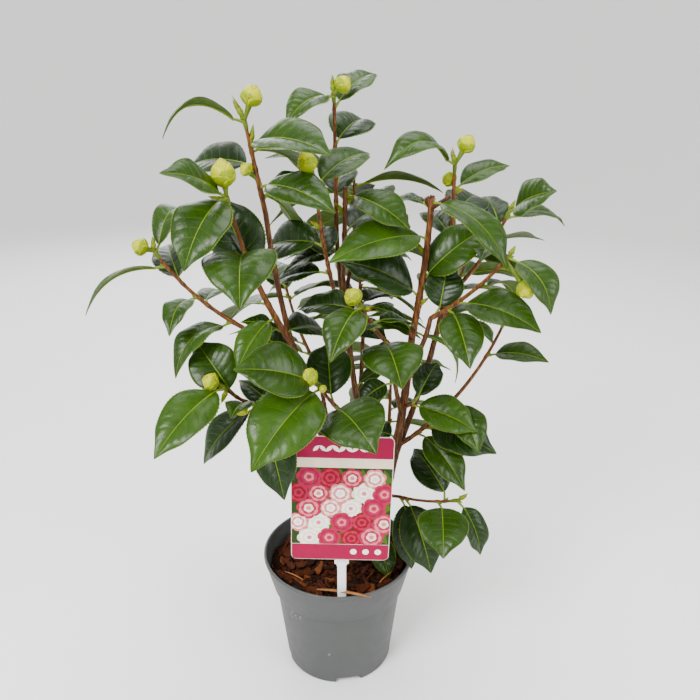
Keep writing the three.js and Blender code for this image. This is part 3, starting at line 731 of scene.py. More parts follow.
def make_cut_twigs():
    """Pruned twigs: a short taper from the limb, and the pale round of the cut."""
    twigs, rounds = Pile(), Pile()
    for seed, (on, share, compass, rise, length, foot, end) in enumerate(CUTS.values()):
        line = sagging(place_on(LINES[on], share), compass, rise, length, 0)
        points = tube(line, lambda s: foot + (end - foot) * s, 14, 12, bark(seed + 90, 0.07))
        twigs.grid(points, flat=unrolled(line, 14, 12))
        along = course_of(line, 1.0)
        disc = np.array([line[2] - along * 0.2, line[2], line[2] + along * 0.2])
        rounds.grid(tube(disc, lambda s: end * (0.84 - 0.1 * s), 14, 3))
    skin = wood("cut_twig_bark", (0.014, 0.005, 0.002), (0.05, 0.017, 0.005), (0.13, 0.05, 0.018), 0.6)
    twigs.grow("cut_twigs", skin)
    flesh = wood("cut_wood", (0.10, 0.05, 0.025), (0.24, 0.13, 0.065), (0.36, 0.22, 0.12), 0.7,
                 (500, 500, 500))
    rounds.grow("cut_rounds", flesh)


# ---- leaves ------------

SIDE_VEINS = 7  # pairs
VEIN_SWEEP = 0.17  # how far a side vein runs on towards the tip before the edge, of the length
VEIN_LOOP = 0.85  # how far it bends forward to the next vein along the edge, of their distance
PILLOW = 0.42  # height of the quilting between side veins
CAMBER = 0.085  # bulge of each half, of its width
TEETH_DEPTH = 0.75
BLADE_THICK = 0.45
ROWS_PER_PILLOW = 8
BLADE_ROWS = ROWS_PER_PILLOW * (SIDE_VEINS + 1) + 1
HALF_COLUMNS = (0.03, 0.1, 0.22, 0.38, 0.56, 0.75, 0.92, 1)
UPPER_COLUMNS = np.array([-a for a in HALF_COLUMNS[::-1]] + [0, *HALF_COLUMNS])
LOWER_COLUMNS = np.array([0.995, 0.75, 0.5, 0.25, 0, -0.25, -0.5, -0.75, -0.995])
LEAVES_PER_PIECE = 55


def outline(s):
    """Half the blade's width at a share of its length, 1 at most: a round foot, and from three
    quarters of the way a drawn-out tip."""
    return s**0.7 * (1 - s) ** 0.95 / 0.325 * (1 - 0.3 * smooth((s - 0.72) / 0.2))


def dice(seed):
    """Park and Miller's generator: the same numbers in any language."""
    state = seed
    while True:
        state = state * 48271 % 2147483647
        yield state / 2147483647


def dealt_leaves(seed, away, wanted):
    """Further leaves, a golden turn apart about the compass they spread from, drooping at random."""
    roll = dice(seed)
    rows = []
    for i in range(wanted * 3):
        turn = (i * GOLDEN_TURN) % 360 - 180
        share = 0.12 + 0.86 * next(roll)
        rise = -34 + 44 * next(roll)
        length = 60 + 22 * next(roll)
        lean = 12 + 26 * next(roll)
        rows.append((share, away + turn * 0.62, rise, length, lean, 0.48 + 0.16 * next(roll)))
    return rows


class Leaf:
    """Where a leaf sits: its root on the stem's line, its foot at the petiole's end, the way it aims
    and the way its upper face looks, and the small ways in which it differs from its neighbours."""

    def __init__(self, line, faces, row, draw):
        share, compass, rise, length, lean = row[:5]
        width = row[5] if len(row) > 5 else BLADE_WIDTH
        arch = row[6] if len(row) > 6 else ARCH
        self.aim = heading(compass, rise)
        self.root = place_on(line, share)
        self.along_stem = course_of(line, share)
        self.stalk = unit(0.6 * self.along_stem + self.aim)
        self.foot = self.root + self.stalk * PETIOLE
        self.face = square(heading(faces, 90 - lean), self.aim)
        self.right = np.cross(self.aim, self.face)
        self.tip = self.foot + self.aim * length
        over = (self.foot + self.tip) / 2 + self.face * 2 * arch * length
        self.midrib = np.array([self.foot, over, self.tip])
        self.length, self.half = length, width * length / 2
        self.fold = np.radians(FOLD * draw.uniform(0.35, 0.8))
        self.waves, self.phase = draw.uniform(1.4, 2.6), draw.uniform(0, 6.28)
        self.wave = draw.uniform(0.5, 1.5)
        self.camber = CAMBER * draw.uniform(0.6, 1.5)

    def surface(self, v, t, above=0.0):
        """The upper side at (v, t), t from -1 to 1 across. Lines of equal v are the side veins: they
        lie at v + sweep |t|^1.3 sin(pi v) of the length. From the arched midrib each half rises at
        the fold, bulges as |t| - t^2, is quilted between its side veins, and waves as t^2 sin(s)
        along the edge. `above` is a height over it."""
        v, t = np.broadcast_arrays(np.asarray(v, float), np.asarray(t, float))
        a = np.abs(t)
        s = np.clip(v + VEIN_SWEEP * a**1.3 * np.sin(np.pi * v), 0.002, 0.999)
        up = square(self.face, course_of(self.midrib, s))
        half = outline(s) * self.half
        pillow = np.abs(np.sin(np.pi * (SIDE_VEINS + 1) * v)) ** 0.75
        quilt = PILLOW * pillow * np.sin(np.pi * np.clip(a, 0, 1)) ** 0.7 * smooth(half / 14)
        wave = self.wave * a**2 * np.sin(2 * np.pi * self.waves * s + self.phase + 1.2 * np.sign(t))
        lift = half * (np.sin(self.fold) * a + self.camber * 4 * (a - a**2)) + quilt
        lift = lift + wave * smooth(half / 10) + above
        across = t * half * np.cos(self.fold)
        return place_on(self.midrib, s) + self.right * across[..., None] + up * lift[..., None]


def toothed(leaf):
    """The vein coordinate of each row, and how far its edge stands out as a share of the half width:
    every second row is a tooth that leans towards the tip."""
    v = 0.004 + 0.992 * steps(BLADE_ROWS)
    tooth = (np.arange(BLADE_ROWS) % 2) * smooth(v / 0.12) * smooth((1 - v) / 0.04)
    return v, tooth * TEETH_DEPTH / np.maximum(outline(v) * leaf.half, 1), 0.35 * tooth / BLADE_ROWS


def blade_rings(leaf):
    """Closed rows round the blade, over the upper side from edge to edge and back under it, and
    their places on the blade laid flat."""
    v, proud, ahead = toothed(leaf)
    t = np.broadcast_to(UPPER_COLUMNS, (BLADE_ROWS, len(UPPER_COLUMNS))).copy()
    along = np.broadcast_to(v[:, None], t.shape).copy()
    for column in (0, -1):
        t[:, column] *= 1 + proud
        along[:, column] += ahead
    upper = leaf.surface(along, t)
    lower = leaf.surface(v[:, None], LOWER_COLUMNS, -BLADE_THICK * (1 - 0.5 * np.abs(LOWER_COLUMNS)))
    columns = np.concatenate([UPPER_COLUMNS, LOWER_COLUMNS])
    flat = np.stack(np.broadcast_arrays(0.5 + columns / 2, v[:, None]), axis=-1)
    return np.concatenate([upper, lower], axis=1), flat


def margin_strips(leaf):
    """A narrow pale band on each edge, following the teeth."""
    v, proud, ahead = toothed(leaf)
    half = np.maximum(outline(v) * leaf.half, 1)
    for side in (-1, 1):
        outer, inner = side * (1 + proud + 0.1 / half), side * (1 - 0.32 / half)
        t = np.stack([inner, outer], axis=1)[:, ::side]
        along = np.stack([v, v + ahead], axis=1)[:, ::side]
        under = leaf.surface(v + ahead, outer, -0.2)[:, None]
        yield np.concatenate([leaf.surface(along, t, 0.05), under], axis=1)


def midrib_strips(leaf, count=26):
    """A rounded rib along the middle of the upper side, tapering to nothing at the tip."""
    v = steps(count, 0.0, 0.985)
    width = 0.95 * (1 - v) ** 0.7 + 0.2
    across = np.array([-1, -0.5, 0, 0.5, 1])
    t = across[None, :] * (width / 2 / np.maximum(outline(np.clip(v, 0.03, 1)) * leaf.half, 1.2))[:, None]
    yield leaf.surface(v[:, None], t, (0.27 * (1 - across**2) - 0.02)[None, :])


def side_vein_strips(leaf, count=11):
    """Side veins from the midrib, each along a line of equal v until it bends forward to the next
    one near the edge, thinning on the way."""
    gap = 1 / (SIDE_VEINS + 1)
    for pair in range(1, SIDE_VEINS + 1):
        for side in (-1, 1):
            a = steps(count, 0.02, 0.9)
            v = gap * (pair + VEIN_LOOP * smooth((a - 0.5) / 0.42) ** 1.4)
            width = (0.46 - 0.28 * a) / leaf.length
            shift = np.stack([-width / 2, 0 * width, width / 2], axis=1)[:, ::-side]
            yield leaf.surface(v[:, None] + shift, (side * a)[:, None], np.array([-0.05, 0.15, -0.05]))


def stalk_strips(leaf, count=18, sides=7):
    """The petiole from the stem to the blade's foot, run on as the raised rib under the blade."""
    u = steps(5, 0.0, 0.9)[:, None]
    bend = leaf.root * (1 - u) + leaf.foot * u
    s = steps(count, 0.0, 0.93)
    up = square(leaf.face, course_of(leaf.midrib, s))
    under = place_on(leaf.midrib, s) - up * (0.35 + 0.25 * (1 - s))[:, None]
    centre = np.concatenate([bend, under])
    radius = np.concatenate([np.linspace(1.35, 1.0, 5), 0.92 * (1 - s) ** 0.9 + 0.12])
    along = unit(np.gradient(centre, axis=0))
    over = square(leaf.face, along)
    yield centre[:, None, :] + ringed(np.cross(over, along), over, sides) * radius[:, None, None]


def eye_strips(leaf, count=7, sides=7):
    """The small sleeping bud in the leaf's armpit: an ovoid with a point, on the stem above the
    petiole."""
    along = unit(leaf.along_stem + 0.7 * leaf.aim)
    side = unit(np.cross(along, leaf.face + 0.1))
    v = steps(count, 0.02, 0.98)[:, None, None]
    radius = 1.05 * np.sin(np.pi * v**0.8) + 0.05
    base = leaf.root + leaf.stalk * 0.8 + leaf.along_stem * 1.2
    yield base + along * v * 4.2 + ringed(side, np.cross(along, side), sides) * radius


CORNER_REACH = 1.2


def stands_in(node, point):
    """True if the node's solid has a corner within reach of the point."""
    mesh = NODES[node].data
    corners = np.zeros(len(mesh.vertices) * 3, np.float32)
    mesh.vertices.foreach_get("co", corners)
    return np.linalg.norm(corners.reshape(-1, 3) / MM - point, axis=1).min() < CORNER_REACH


def spots(leaf):
    """Points spread over the blade, for telling how near two leaves come."""
    across = np.array([-0.95, -0.6, -0.3, 0, 0.3, 0.6, 0.95])
    return leaf.surface(steps(21, 0.02, 0.98)[:, None], across).reshape(-1, 3)


# Inner leaves, on the boughs themselves: limb, compass faced, tone, and the row of the leaf. A leaf
# without room turns aside, droops and shrinks, step by step, until it has some.
INNER_CLEAR = 2.2
INNER_TRIES = 14
INNER_TURN = 7
INNER_DROP = 2.5
INNER_SHRINK = 0.96
# Most inner leaves take the deep tone, which is painted shade for the inside of the crown.
INNER_LEAVES = (
    ("centre_bough", 270, "m", (0.55, 20, 20, 29, 30, 0.5)),
    ("centre_low_bough", 270, "d", (0.5, 200, -31, 30, 30, 0.8)),
    ("right_bough", 270, "d", (0.45, 130, -19, 30, 40, 0.8)),
    ("back_middle", 270, "m", (0.05, 5, -8, 60, 10, 0.4)),
    ("centre_bough", 270, "d", (0.8, 330, -13, 34, 30, 0.7)),
    ("mid_left_bough", 270, "d", (0.45, 165, 18, 40, 50, 0.8)),
    ("trunk", 270, "m", (0.5, 290, -40, 42, 30, 0.6)),
    ("top_left", 270, "d", (0.15, 20, 29, 30, 20, 0.5)),
    ("left_front", 270, "d", (0.1, 205, 25, 36, 20, 0.6)),
    ("leader", 270, "d", (0.05, 190, 35, 45, 20, 0.4)),
    ("right_bough", 270, "m", (0.9, 215, 25, 35, 20, 0.5)),
    ("low_left_bough", 270, "d", (0.7, 140, 19, 50, 20, 0.5)),
    ("back_middle", 270, "d", (0.3, 60, -14, 66, 10, 0.45)),
    ("back_low", 270, "d", (0.5, 150, -15, 65, 12, 0.5)),
)


def grown_leaves():
    """Every leaf of every shoot, by the named rows and the seeded rule, as far as the plant has room
    for it, and then the small inner leaves, each with its tone."""
    draw = np.random.default_rng(11)
    taken = [place_on(line, steps(60)) for line in LINES.values()]
    for order, (name, row) in enumerate(SHOOTS.items()):
        rows = [*row["leaves"], *dealt_leaves(1000 + order, row["away"], row["more"])]
        for place, leaf_row in enumerate(rows):
            leaf = Leaf(LINES[name], row["faces"], leaf_row, draw)
            if stands_in(f"{name}_leaves", leaf.tip):
                taken.append(spots(leaf))
                yield leaf, row["tones"][place % len(row["tones"])]
    for name, faces, tone, leaf_row in INNER_LEAVES:
        share, compass, rise, length, lean, width = leaf_row
        for k in range(INNER_TRIES):
            aside = compass + INNER_TURN * ((k + 1) // 2) * (-1) ** k
            eased = (share, aside, rise - INNER_DROP * k, length * INNER_SHRINK**k, lean, width)
            leaf = Leaf(LINES[name], faces, eased, draw)
            near = spots(leaf)
            if np.linalg.norm(np.concatenate(taken)[:, None] - near[None], axis=-1).min() > INNER_CLEAR:
                taken.append(near)
                yield leaf, tone
                break


# Leaf greens. The deep one is partly painted shade: it goes mostly to leaves turned back, hanging under
# others or inside the crown.
TONES = {
    "f": ("fresh", (0.024, 0.063, 0.0015)),
    "m": ("middle", (0.016, 0.043, 0.001)),
    "d": ("deep_shaded", (0.006, 0.020, 0.001)),
}
LEAF_FORMS = {  # on every leaf: what shapes the form, and its colour
    "leaf_margin": (margin_strips, (0.075, 0.125, 0.004)),
    "leaf_midrib": (midrib_strips, (0.13, 0.215, 0.005)),
    "leaf_side_vein": (side_vein_strips, (0.050, 0.110, 0.003)),
    "leaf_stalk": (stalk_strips, (0.13, 0.20, 0.005)),
    "leaf_eye": (eye_strips, (0.09, 0.13, 0.005)),
}


def make_leaves():
    """The blades in pieces by tone, and each form on them as one piece for the whole plant."""
    blades, made = {}, dict.fromkeys(TONES, 0)
    forms = {name: Pile() for name in LEAF_FORMS}
    paint = [0] * len(UPPER_COLUMNS) + [1] * (len(LOWER_COLUMNS) - 1) + [0]
    for leaf, tone in grown_leaves():
        part = made[tone] // LEAVES_PER_PIECE
        made[tone] += 1
        rings, flat = blade_rings(leaf)
        blades.setdefault((tone, part), Pile()).grid(rings, paint=paint, flat=flat)
        for name, (strips, _) in LEAF_FORMS.items():
            for strip in strips(leaf):
                forms[name].grid(strip)
    under = leaf_under()
    greens = {tone: leaf_upper(f"leaf_{word}", colour) for tone, (word, colour) in TONES.items()}
    for (tone, part), pile in blades.items():
        pile.grow(f"leaf_blades_{TONES[tone][0]}_{part + 1}", greens[tone], under)
    for name, pile in forms.items():
        pile.grow(f"{name}s", plain_green(name, LEAF_FORMS[name][1]))


# ---- buds ------------

BUD_SCALES = 11
SCALE_TURN = 2.4  # radians, about a golden turn


def axes_of(compass, rise):
    along = heading(compass, rise)
    side = heading(compass + 90, 0)
    return along, side, np.cross(along, side)


def about(base, axes, reach, angle, radius):
    """Points at a reach along an axis, and at a radius and an angle round it."""
    reach, angle, radius = (part[..., None] for part in np.broadcast_arrays(reach, angle, radius))
    return base + reach * axes[0] + radius * (np.cos(angle) * axes[1] + np.sin(angle) * axes[2])


def ovoid(v, diameter):
    """Radius at a share of the bud's length: round at the foot, a blunt point at the top."""
    v = np.clip(v, 0, 1)
    return diameter / 2 * np.sin(np.pi * v**0.88) ** 0.62 * (1 - 0.10 * v)


def shell(base, axes, reach, angle, outer, inner):
    """A curved scale as a closed sheet: its outside and, a little nearer the axis, its inside."""
    outside, inside = (about(base, axes, reach, angle, radius) for radius in (outer, inner))
    return np.concatenate([outside, inside[:, ::-1]], axis=1)


def rim_paint(w, u):
    """Material places for a scale: 1 along its free edge, 0 elsewhere, on both sides."""
    rim = (w[:-1] > 0.8) | (np.abs(u[:, :-1] + u[:, 1:]) / 2 > 0.85)
    edge = np.ones((len(w) - 1, 1), bool)
    return np.concatenate([rim, edge, rim[:, ::-1], edge], axis=1).astype(int)


def add_bud(piles, base, axes, length, diameter, turn):
    """A smooth ovoid under scales a golden turn apart, the low ones short and outermost. A scale
    spans a part of the ovoid's length and narrows to a round tip as sqrt(1 - w^3)."""
    v = steps(17)[:, None]
    piles["bud_cores"].grid(
        about(base, axes, v * length, around(24), np.maximum(ovoid(v, diameter) - 0.3, 0.02))
    )
    w, u = steps(11)[:, None], steps(11, -1, 1)[None, :]
    for k in range(BUD_SCALES):
        share = k / (BUD_SCALES - 1)
        high = 0.32 + 0.64 * share**0.85
        low = max(0.02, high - 0.6)
        v = low + (high - low) * (w - 0.05 * u**2 * w)
        angle = turn + SCALE_TURN * k + u * 1.2 * np.sqrt(np.clip(1 - w**3, 0.004, 1))
        proud = (1.25 * (1 - share) + 0.22) * (0.35 + 0.65 * w) * (1 - 0.15 * u**2)
        outer = ovoid(v, diameter) + proud
        pile = piles["bud_tips" if share > 0.68 else "bud_scales"]
        pile.grid(shell(base, axes, v * length, angle, outer, outer - 0.4), paint=rim_paint(w, u))


def add_spear(scales, stalks, root, axes, length, turn):
    """Four long scales wrapped round each other on a short stalk, up to a fine point."""
    foot = root + axes[0] * length * 0.4
    stalks.grid(tube(np.array([root, (root + foot) / 2, foot]), lambda s: 1.3 + 0.6 * s, 8, 4))
    w, u = steps(13)[:, None], steps(9, -1, 1)[None, :]
    for k in range(4):
        reach = length * (0.2 + 0.07 * k + (0.55 + 0.14 * k) * w)
        body = 2.5 * np.sin(np.pi * np.clip(w * 0.86 + 0.1, 0, 1)) ** 0.9 * (1 - 0.12 * k) + 0.12
        angle = turn + SCALE_TURN * k + u * 1.5 * np.sqrt(np.clip(1 - w**3, 0.01, 1))
        scales.grid(shell(root, axes, reach, angle, body, body * 0.8 - 0.05), paint=rim_paint(w, u))


BUD_SKINS = {  # each piece's finish, and the finish of its scales' rims
    "bud_cores": {"bud_core": (0.3, 0.33, 0.0)},
    "bud_scales": {"bud_green": (0.2, 0.26, 0.0), "bud_green_rim": (0.35, 0.37, 0.0)},
    "bud_tips": {"bud_yellow": (0.38, 0.4, 0.0), "bud_cream_rim": (0.50, 0.46, 0.02)},
    "leaf_bud_spears": {"spear_green": (0.12, 0.18, 0.002), "spear_rim": (0.2, 0.13, 0.012)},
}


def make_buds():
    """The flower buds and leaf buds of every shoot, with a collar at its tip and a neck under each
    flower bud."""
    piles, stalks = {name: Pile() for name in BUD_SKINS}, Pile()
    for name, row in SHOOTS.items():
        line = LINES[name]
        tip_share = 1 - 7 / row["stem"][2]
        if row["buds"] or row["spears"]:
            end = place_on(line, 1) + course_of(line, 1)
            collar = np.array([place_on(line, tip_share), place_on(line, (1 + tip_share) / 2), end])
            stalks.grid(tube(collar, lambda s: 1.55 + 0.7 * s - 1.2 * s**6, 12, 9))
        for share, compass, rise, reach, diameter, stretch in row["buds"]:
            root, axes, length = place_on(line, share), axes_of(compass, rise), diameter * stretch
            base = root + axes[0] * (reach - length / 2)
            if not stands_in(f"{name}_leaves", base + axes[0] * length):
                continue
            add_bud(piles, base, axes, length, diameter, share * 90 + diameter)
            neck = np.array([root, (root + base) / 2, base + axes[0] * 1.5])
            stalks.grid(tube(neck, lambda s: 1.5 + 1.3 * s**2, 10, 7))
        for share, compass, rise, length in row["spears"]:
            root, axes = place_on(line, share), axes_of(compass, rise)
            if stands_in(f"{name}_leaves", root + axes[0] * length * 1.25):
                add_spear(piles["leaf_bud_spears"], stalks, root, axes, length, share * 70)
    for name, skins in BUD_SKINS.items():
        piles[name].grow(name, *(bud_skin(*skin) for skin in skins.items()))
    stalks.grow("bud_stalks", plain_green("bud_stalk", (0.08, 0.125, 0.004)))


# ---- pot and compost ------------


def inside_radius(height):
    """The radius inside the wall at a height."""
    if height < POT["collar_foot"]:
        low, high = (POT["base_round"], POT["base_radius"]), (POT["collar_foot"], POT["body_top_radius"])
    else:
        low, high = (POT["collar_foot"], POT["collar_foot_radius"]), (POT["height"], POT["rim_radius"])
    share = (height - low[0]) / (high[0] - low[0])
    return low[1] + (high[1] - low[1]) * share - POT["wall"]


def body_radius(height):
    """The radius outside the wall at a height below the collar."""
    share = (height - 5) / (POT["collar_foot"] - 6)
    return POT["base_radius"] + (POT["body_top_radius"] - POT["base_radius"]) * share


def pot_profile():
    """Outside from the underside's middle up to the rim, over the rolled lip and down the inside."""
    top, foot, bend = POT["height"], POT["collar_foot"], POT["base_round"]
    body, collar, rim = POT["body_top_radius"], POT["collar_foot_radius"], POT["rim_radius"]
    edge, inner = POT["base_radius"] - bend, POT["base_radius"] - NOTCH["depth"]
    mouth = inside_radius(top)
    return [
        (0.1, 1.2), (inner - 3, 1.2), (inner - 2, 0.2), (inner, 0), (inner + 0.4, 0),
        *((edge + bend * np.sin(a), bend * (1 - np.cos(a))) for a in np.radians(steps(7, 0, 90))),
        *((body_radius(h), h) for h in (7, 20, 40, 60, 75, foot - 3, foot - 1.6)),
        (body + 0.6, foot - 1), (collar - 0.5, foot - 0.6), (collar, foot), (collar + 0.2, foot + 1),
        (collar + 4, foot + 16), (rim - 1.4, top - 6), (rim - 1.3, top - 4.6), (rim - 0.3, top - 3.8),
        (rim, top - 2.6), (rim - 0.1, top - 1), (rim - 0.8, top - 0.2), (rim - 1.6, top),
        (mouth - 0.7, top - 0.3), (mouth - POT["lip"], top - 1), (mouth - POT["lip"], top - 3),
        *((inside_radius(h), h) for h in (top - 5, foot + 2, foot - 4, 10)),
        (inside_radius(8) - 2, POT_FLOOR), (0.1, POT_FLOOR),
    ]


def notched(turn, radius, height):
    """Lifts the foot's edge over each drain notch, with steep ends."""
    inner = POT["base_radius"] - NOTCH["depth"]
    cut = 0
    for i in range(NOTCH["count"]):
        centre = np.radians(NOTCH["first"] + 360 * i / NOTCH["count"])
        off = np.abs((turn - centre + np.pi) % (2 * np.pi) - np.pi) * POT["base_radius"]
        cut = np.maximum(cut, smooth(NOTCH["width"] / 2 + 0.5 - off) * smooth((radius - inner) / 0.4))
    return height + np.maximum(NOTCH["height"] - height, 0) * cut


def make_pot():
    pile = Pile()
    pile.grid(revolved(pot_profile(), 256, notched))
    pile.make("nursery_pot", "pot", ["pot"], pot_plastic())


SCUFFS = ((221, 77), (224, 79.5), (228, 78), (234, 79.5), (262, 40))  # compass, height


def make_scuffs():
    """Pale rub marks low on the pot's front, thin flecks that follow the wall."""
    pile = Pile()
    draw = np.random.default_rng(3)
    for angle, height in SCUFFS:
        for _ in range(3):
            a = np.radians(angle + draw.normal(0, 0.9))
            h = height + draw.normal(0, 1.1)
            turn = a + steps(6, 0, draw.uniform(0.008, 0.03))[:, None]
            z = h + np.array([0, draw.uniform(0.25, 0.6)])[None, :] + (turn - a) * draw.uniform(-60, 60)
            r = body_radius(z) + 0.05
            pile.grid(xyz(r * np.cos(turn), r * np.sin(turn), z), closed=False)
    pile.make("pot_scuffs", "pot", [], print_ink("pot_scuff", (0.42, 0.43, 0.42), 0.6))


def soil_height(x, y):
    """The compost's top: a low crown and seeded lumps."""
    r = np.hypot(x, y)
    lumps = np.sin(x * 0.21 + 1.3) * np.sin(y * 0.17) + 0.6 * np.sin(x * 0.43 + y * 0.31 + 2)
    return COMPOST_TOP - 3.2 - COMPOST_CROWN * smooth((r - 45) / 25) + 1.1 * lumps


def make_soil():
    """A closed body: its side follows the pot's wall, and its top is a grid of rings with lumps."""
    pile = Pile()
    foot = POT_FLOOR + GAP
    heights = (foot + 3, POT["collar_foot"] - 5, POT["collar_foot"] + 3, COMPOST_TOP - 8)
    side = [(inside_radius(h) - 0.6, h) for h in heights]
    side[2] = (inside_radius(POT["collar_foot"] - 1) - 0.6, heights[2])
    profile = [(0.1, foot + 3), *side] + [(r, COMPOST_TOP) for r in np.linspace(67.5, 0.1, 34)]
    points = revolved(profile, 120)
    top = points[len(side) + 1:]
    top[..., 2] = soil_height(top[..., 0], top[..., 1])
    grain = np.random.default_rng(8).normal(0, 0.5, top.shape[:2])
    top[..., 2] += grain * (np.hypot(top[..., 0], top[..., 1]) > 1)
    pile.grid(points)
    pile.make("compost_body", "compost", ["compost"], peat())


def chip_rings(centre, size, yaw, tilt, roll, draw):
    """A split piece of bark: a long outline with jagged ends at three levels, the middle one widest."""
    turn = around(10)
    x = np.sign(np.cos(turn)) * np.abs(np.cos(turn)) ** 0.6 * draw.uniform(0.78, 1.08, 10) * size[0] / 2
    y = np.sign(np.sin(turn)) * np.abs(np.sin(turn)) ** 0.7 * draw.uniform(0.7, 1.1, 10) * size[1] / 2
    levels = [
        xyz(x * spread, y * spread, level * size[2] + draw.normal(0, 0.16, 10) * size[2])
        for level, spread in ((-0.5, 0.8), (0.1, 1.0), (0.5, 0.82))
    ]
    points = np.array(levels)
    points[..., 2] += draw.uniform(-0.012, 0.02) * points[..., 0] ** 2
    points = spun(points, tilt, 0, 2)
    points = spun(points, roll, 1, 2)
    return spun(points, yaw, 0, 1) + centre


CHIP_BOUND = 69.3  # radius that no chip crosses
CHIPS = (  # how many, length from and to, height over the compost
    (320, 4, 8, 0.2), (260, 8, 15, 1.0), (95, 15, 25, 2.2),
)


def make_chips():
    """Bark chips thrown over the compost, small ones first and long ones on top, in three browns."""
    draw = np.random.default_rng(21)
    piles = [Pile(), Pile(), Pile()]
    for count, short, long, height in CHIPS:
        for _ in range(count):
            length = draw.uniform(short, long)
            size = (length, length * draw.uniform(0.22, 0.5), draw.uniform(1.2, 2.8))
            reach = (69.5 - length * 0.4) * np.sqrt(draw.uniform(0, 1))
            angle, yaw = draw.uniform(0, 2 * np.pi, 2)
            x, y = reach * np.cos(angle), reach * np.sin(angle)
            tilt, roll = draw.normal(0, 0.2), draw.normal(0, 0.5)
            if reach > 60 - length / 2:
                yaw = angle + np.pi / 2 + draw.normal(0, 0.3)
            centre = np.array([x, y, soil_height(x, y) + height + draw.uniform(0, 1.2)])
            rings = chip_rings(centre, size, yaw, tilt, roll, draw)
            pile = piles[draw.choice(3, p=(0.4, 0.4, 0.2))]
            off_trunk = np.hypot(x - TRUNK["x"], y - TRUNK["y"]) > 12
            if off_trunk and np.hypot(rings[..., 0], rings[..., 1]).max() < CHIP_BOUND:
                pile.grid(rings)
    browns = ((0.014, 0.0033, 0.001), (0.045, 0.010, 0.0025), (0.10, 0.027, 0.006))
    for name, pile, brown in zip(("dark", "brown", "tan"), piles, browns):
        material = bark_chip(f"bark_{name}", brown)
        pile.make(f"bark_chips_{name}", "compost", ["compost"], material, shade_smooth=False)


def straw_rings(start, end, width, bow):
    """A flat sliver from start to end, bowed up in the middle."""
    line = np.array([start, (np.array(start) + end) / 2 + 2 * bow * UP, end])
    s = steps(14)
    centre, along = place_on(line, s), course_of(line, s)
    side = unit(np.cross(along, UP))
    over = np.cross(side, along)
    half = width / 2 * (np.sin(np.pi * (0.06 + 0.9 * s)) ** 0.35)[:, None]
    corners = [over * 0.35, side * half, -over * 0.35, -side * half]
    return np.stack([centre + corner for corner in corners], axis=1)


SLIVERS = (  # start, end, width, bow
    ((-20, -52, 115), (31, -76.5, 126.5), 4.2, 2), ((-52, -24, 113), (-34, -37, 114), 1.8, 1),
    ((40, -40, 113), (53, -25, 114), 1.6, 1), ((2, 52, 113), (24, 50, 114), 1.8, 1.2),
)


def make_straw():
    pile = Pile()
    for sliver in SLIVERS:
        pile.grid(straw_rings(*sliver))
    pile.make("straw_slivers", "compost", ["compost"], bark_chip("straw", (0.27, 0.115, 0.038)))


# ---- label ------------


def on_card(x, y, above):
    """Card coordinates to the plant's: x across and y up from the card's middle, turned by its roll,
    and `above` its front face."""
    a = np.radians(CARD["roll"])
    across = x * np.cos(a) - y * np.sin(a) + CARD["middle_x"]
    up = x * np.sin(a) + y * np.cos(a) + CARD["foot"] + CARD["height"] / 2
    return xyz(across, CARD["front"] - above, up)


def rounded(width, height, radius, count=7):
    """Outline of a rectangle with round corners, as x and y, anticlockwise."""
    a = np.radians(steps(count, 0, 90))
    xs, ys = [], []
    for k, (sx, sy) in enumerate(((1, -1), (1, 1), (-1, 1), (-1, -1))):
        turn = a + np.radians(90 * k - 90)
        xs.append(sx * (width / 2 - radius) + radius * np.cos(turn))
        ys.append(sy * (height / 2 - radius) + radius * np.sin(turn))
    return np.concatenate(xs), np.concatenate(ys)


def plate(pile, x, y, low, high):
    """A thin plate of that outline on the card, from `low` to `high` over its front."""
    pile.grid(np.stack([on_card(x, y, low), on_card(x, y, high)]))


def make_card():
    pile = Pile()
    x, y = rounded(CARD["width"], CARD["height"], CARD["round"])
    inner_x, inner_y = x * (1 - 0.6 / CARD["width"]), y * (1 - 0.6 / CARD["height"])
    rows = [(inner_x, inner_y, -1.0), (x, y, -0.75), (x, y, -0.2), (inner_x, inner_y, 0.0)]
    pile.grid(np.stack([on_card(a, b, c) for a, b, c in rows]))
    pile.make("label_board", "label", ["label_card"], print_ink("label_board", (0.86, 0.82, 0.74)),
              shade_smooth=False)


def petals(count, reach, turn, waist=0.45):
    """A flower's outline: radius swells |cos| between its petals."""
    a = around(count * 12)
    radius = reach * (waist + (1 - waist) * np.abs(np.cos(count * a / 2)) ** 0.6)
    return radius * np.cos(a + turn), radius * np.sin(a + turn)


def leaflet(reach, turn):
    """A small leaf's outline: a lens, reach cos a long and 0.42 reach sin a |sin a| to either side."""
    a = around(24)
    x, y = reach * np.cos(a), reach * 0.42 * np.sin(a) * np.abs(np.sin(a))
    return x * np.cos(turn) - y * np.sin(turn), x * np.sin(turn) + y * np.cos(turn)


BLOSSOMS = dict(across=19.0, up=15.4, rows=5, low=-38.6, reach=11.4)
LAYER = dict(leaf=0.003, base=0.25, tier=0.08, row=0.003, wheel=0.012)  # how proud each layer stands
PICTURE = dict(low=-46.0, high=32.6)
INKS = {
    "pink": (0.26, 0.0, 0.038), "cream": (0.8, 0.66, 0.5), "green": (0.016, 0.038, 0.004),
    "white": (0.92, 0.88, 0.82), "blush": (0.62, 0.14, 0.18), "rose": (0.34, 0.008, 0.045),
    "red": (0.2, 0.0, 0.01), "moss": (0.05, 0.10, 0.006),
}
SCHEMES = (  # a blossom's inks, from its outermost wheel inwards
    ("cream", "white", "cream", "white", "blush"), ("red", "rose", "red", "rose", "red"),
    ("blush", "cream", "blush", "white", "cream"), ("rose", "pink", "rose", "blush", "rose"),
    ("rose", "blush", "rose", "cream", "blush"),
)


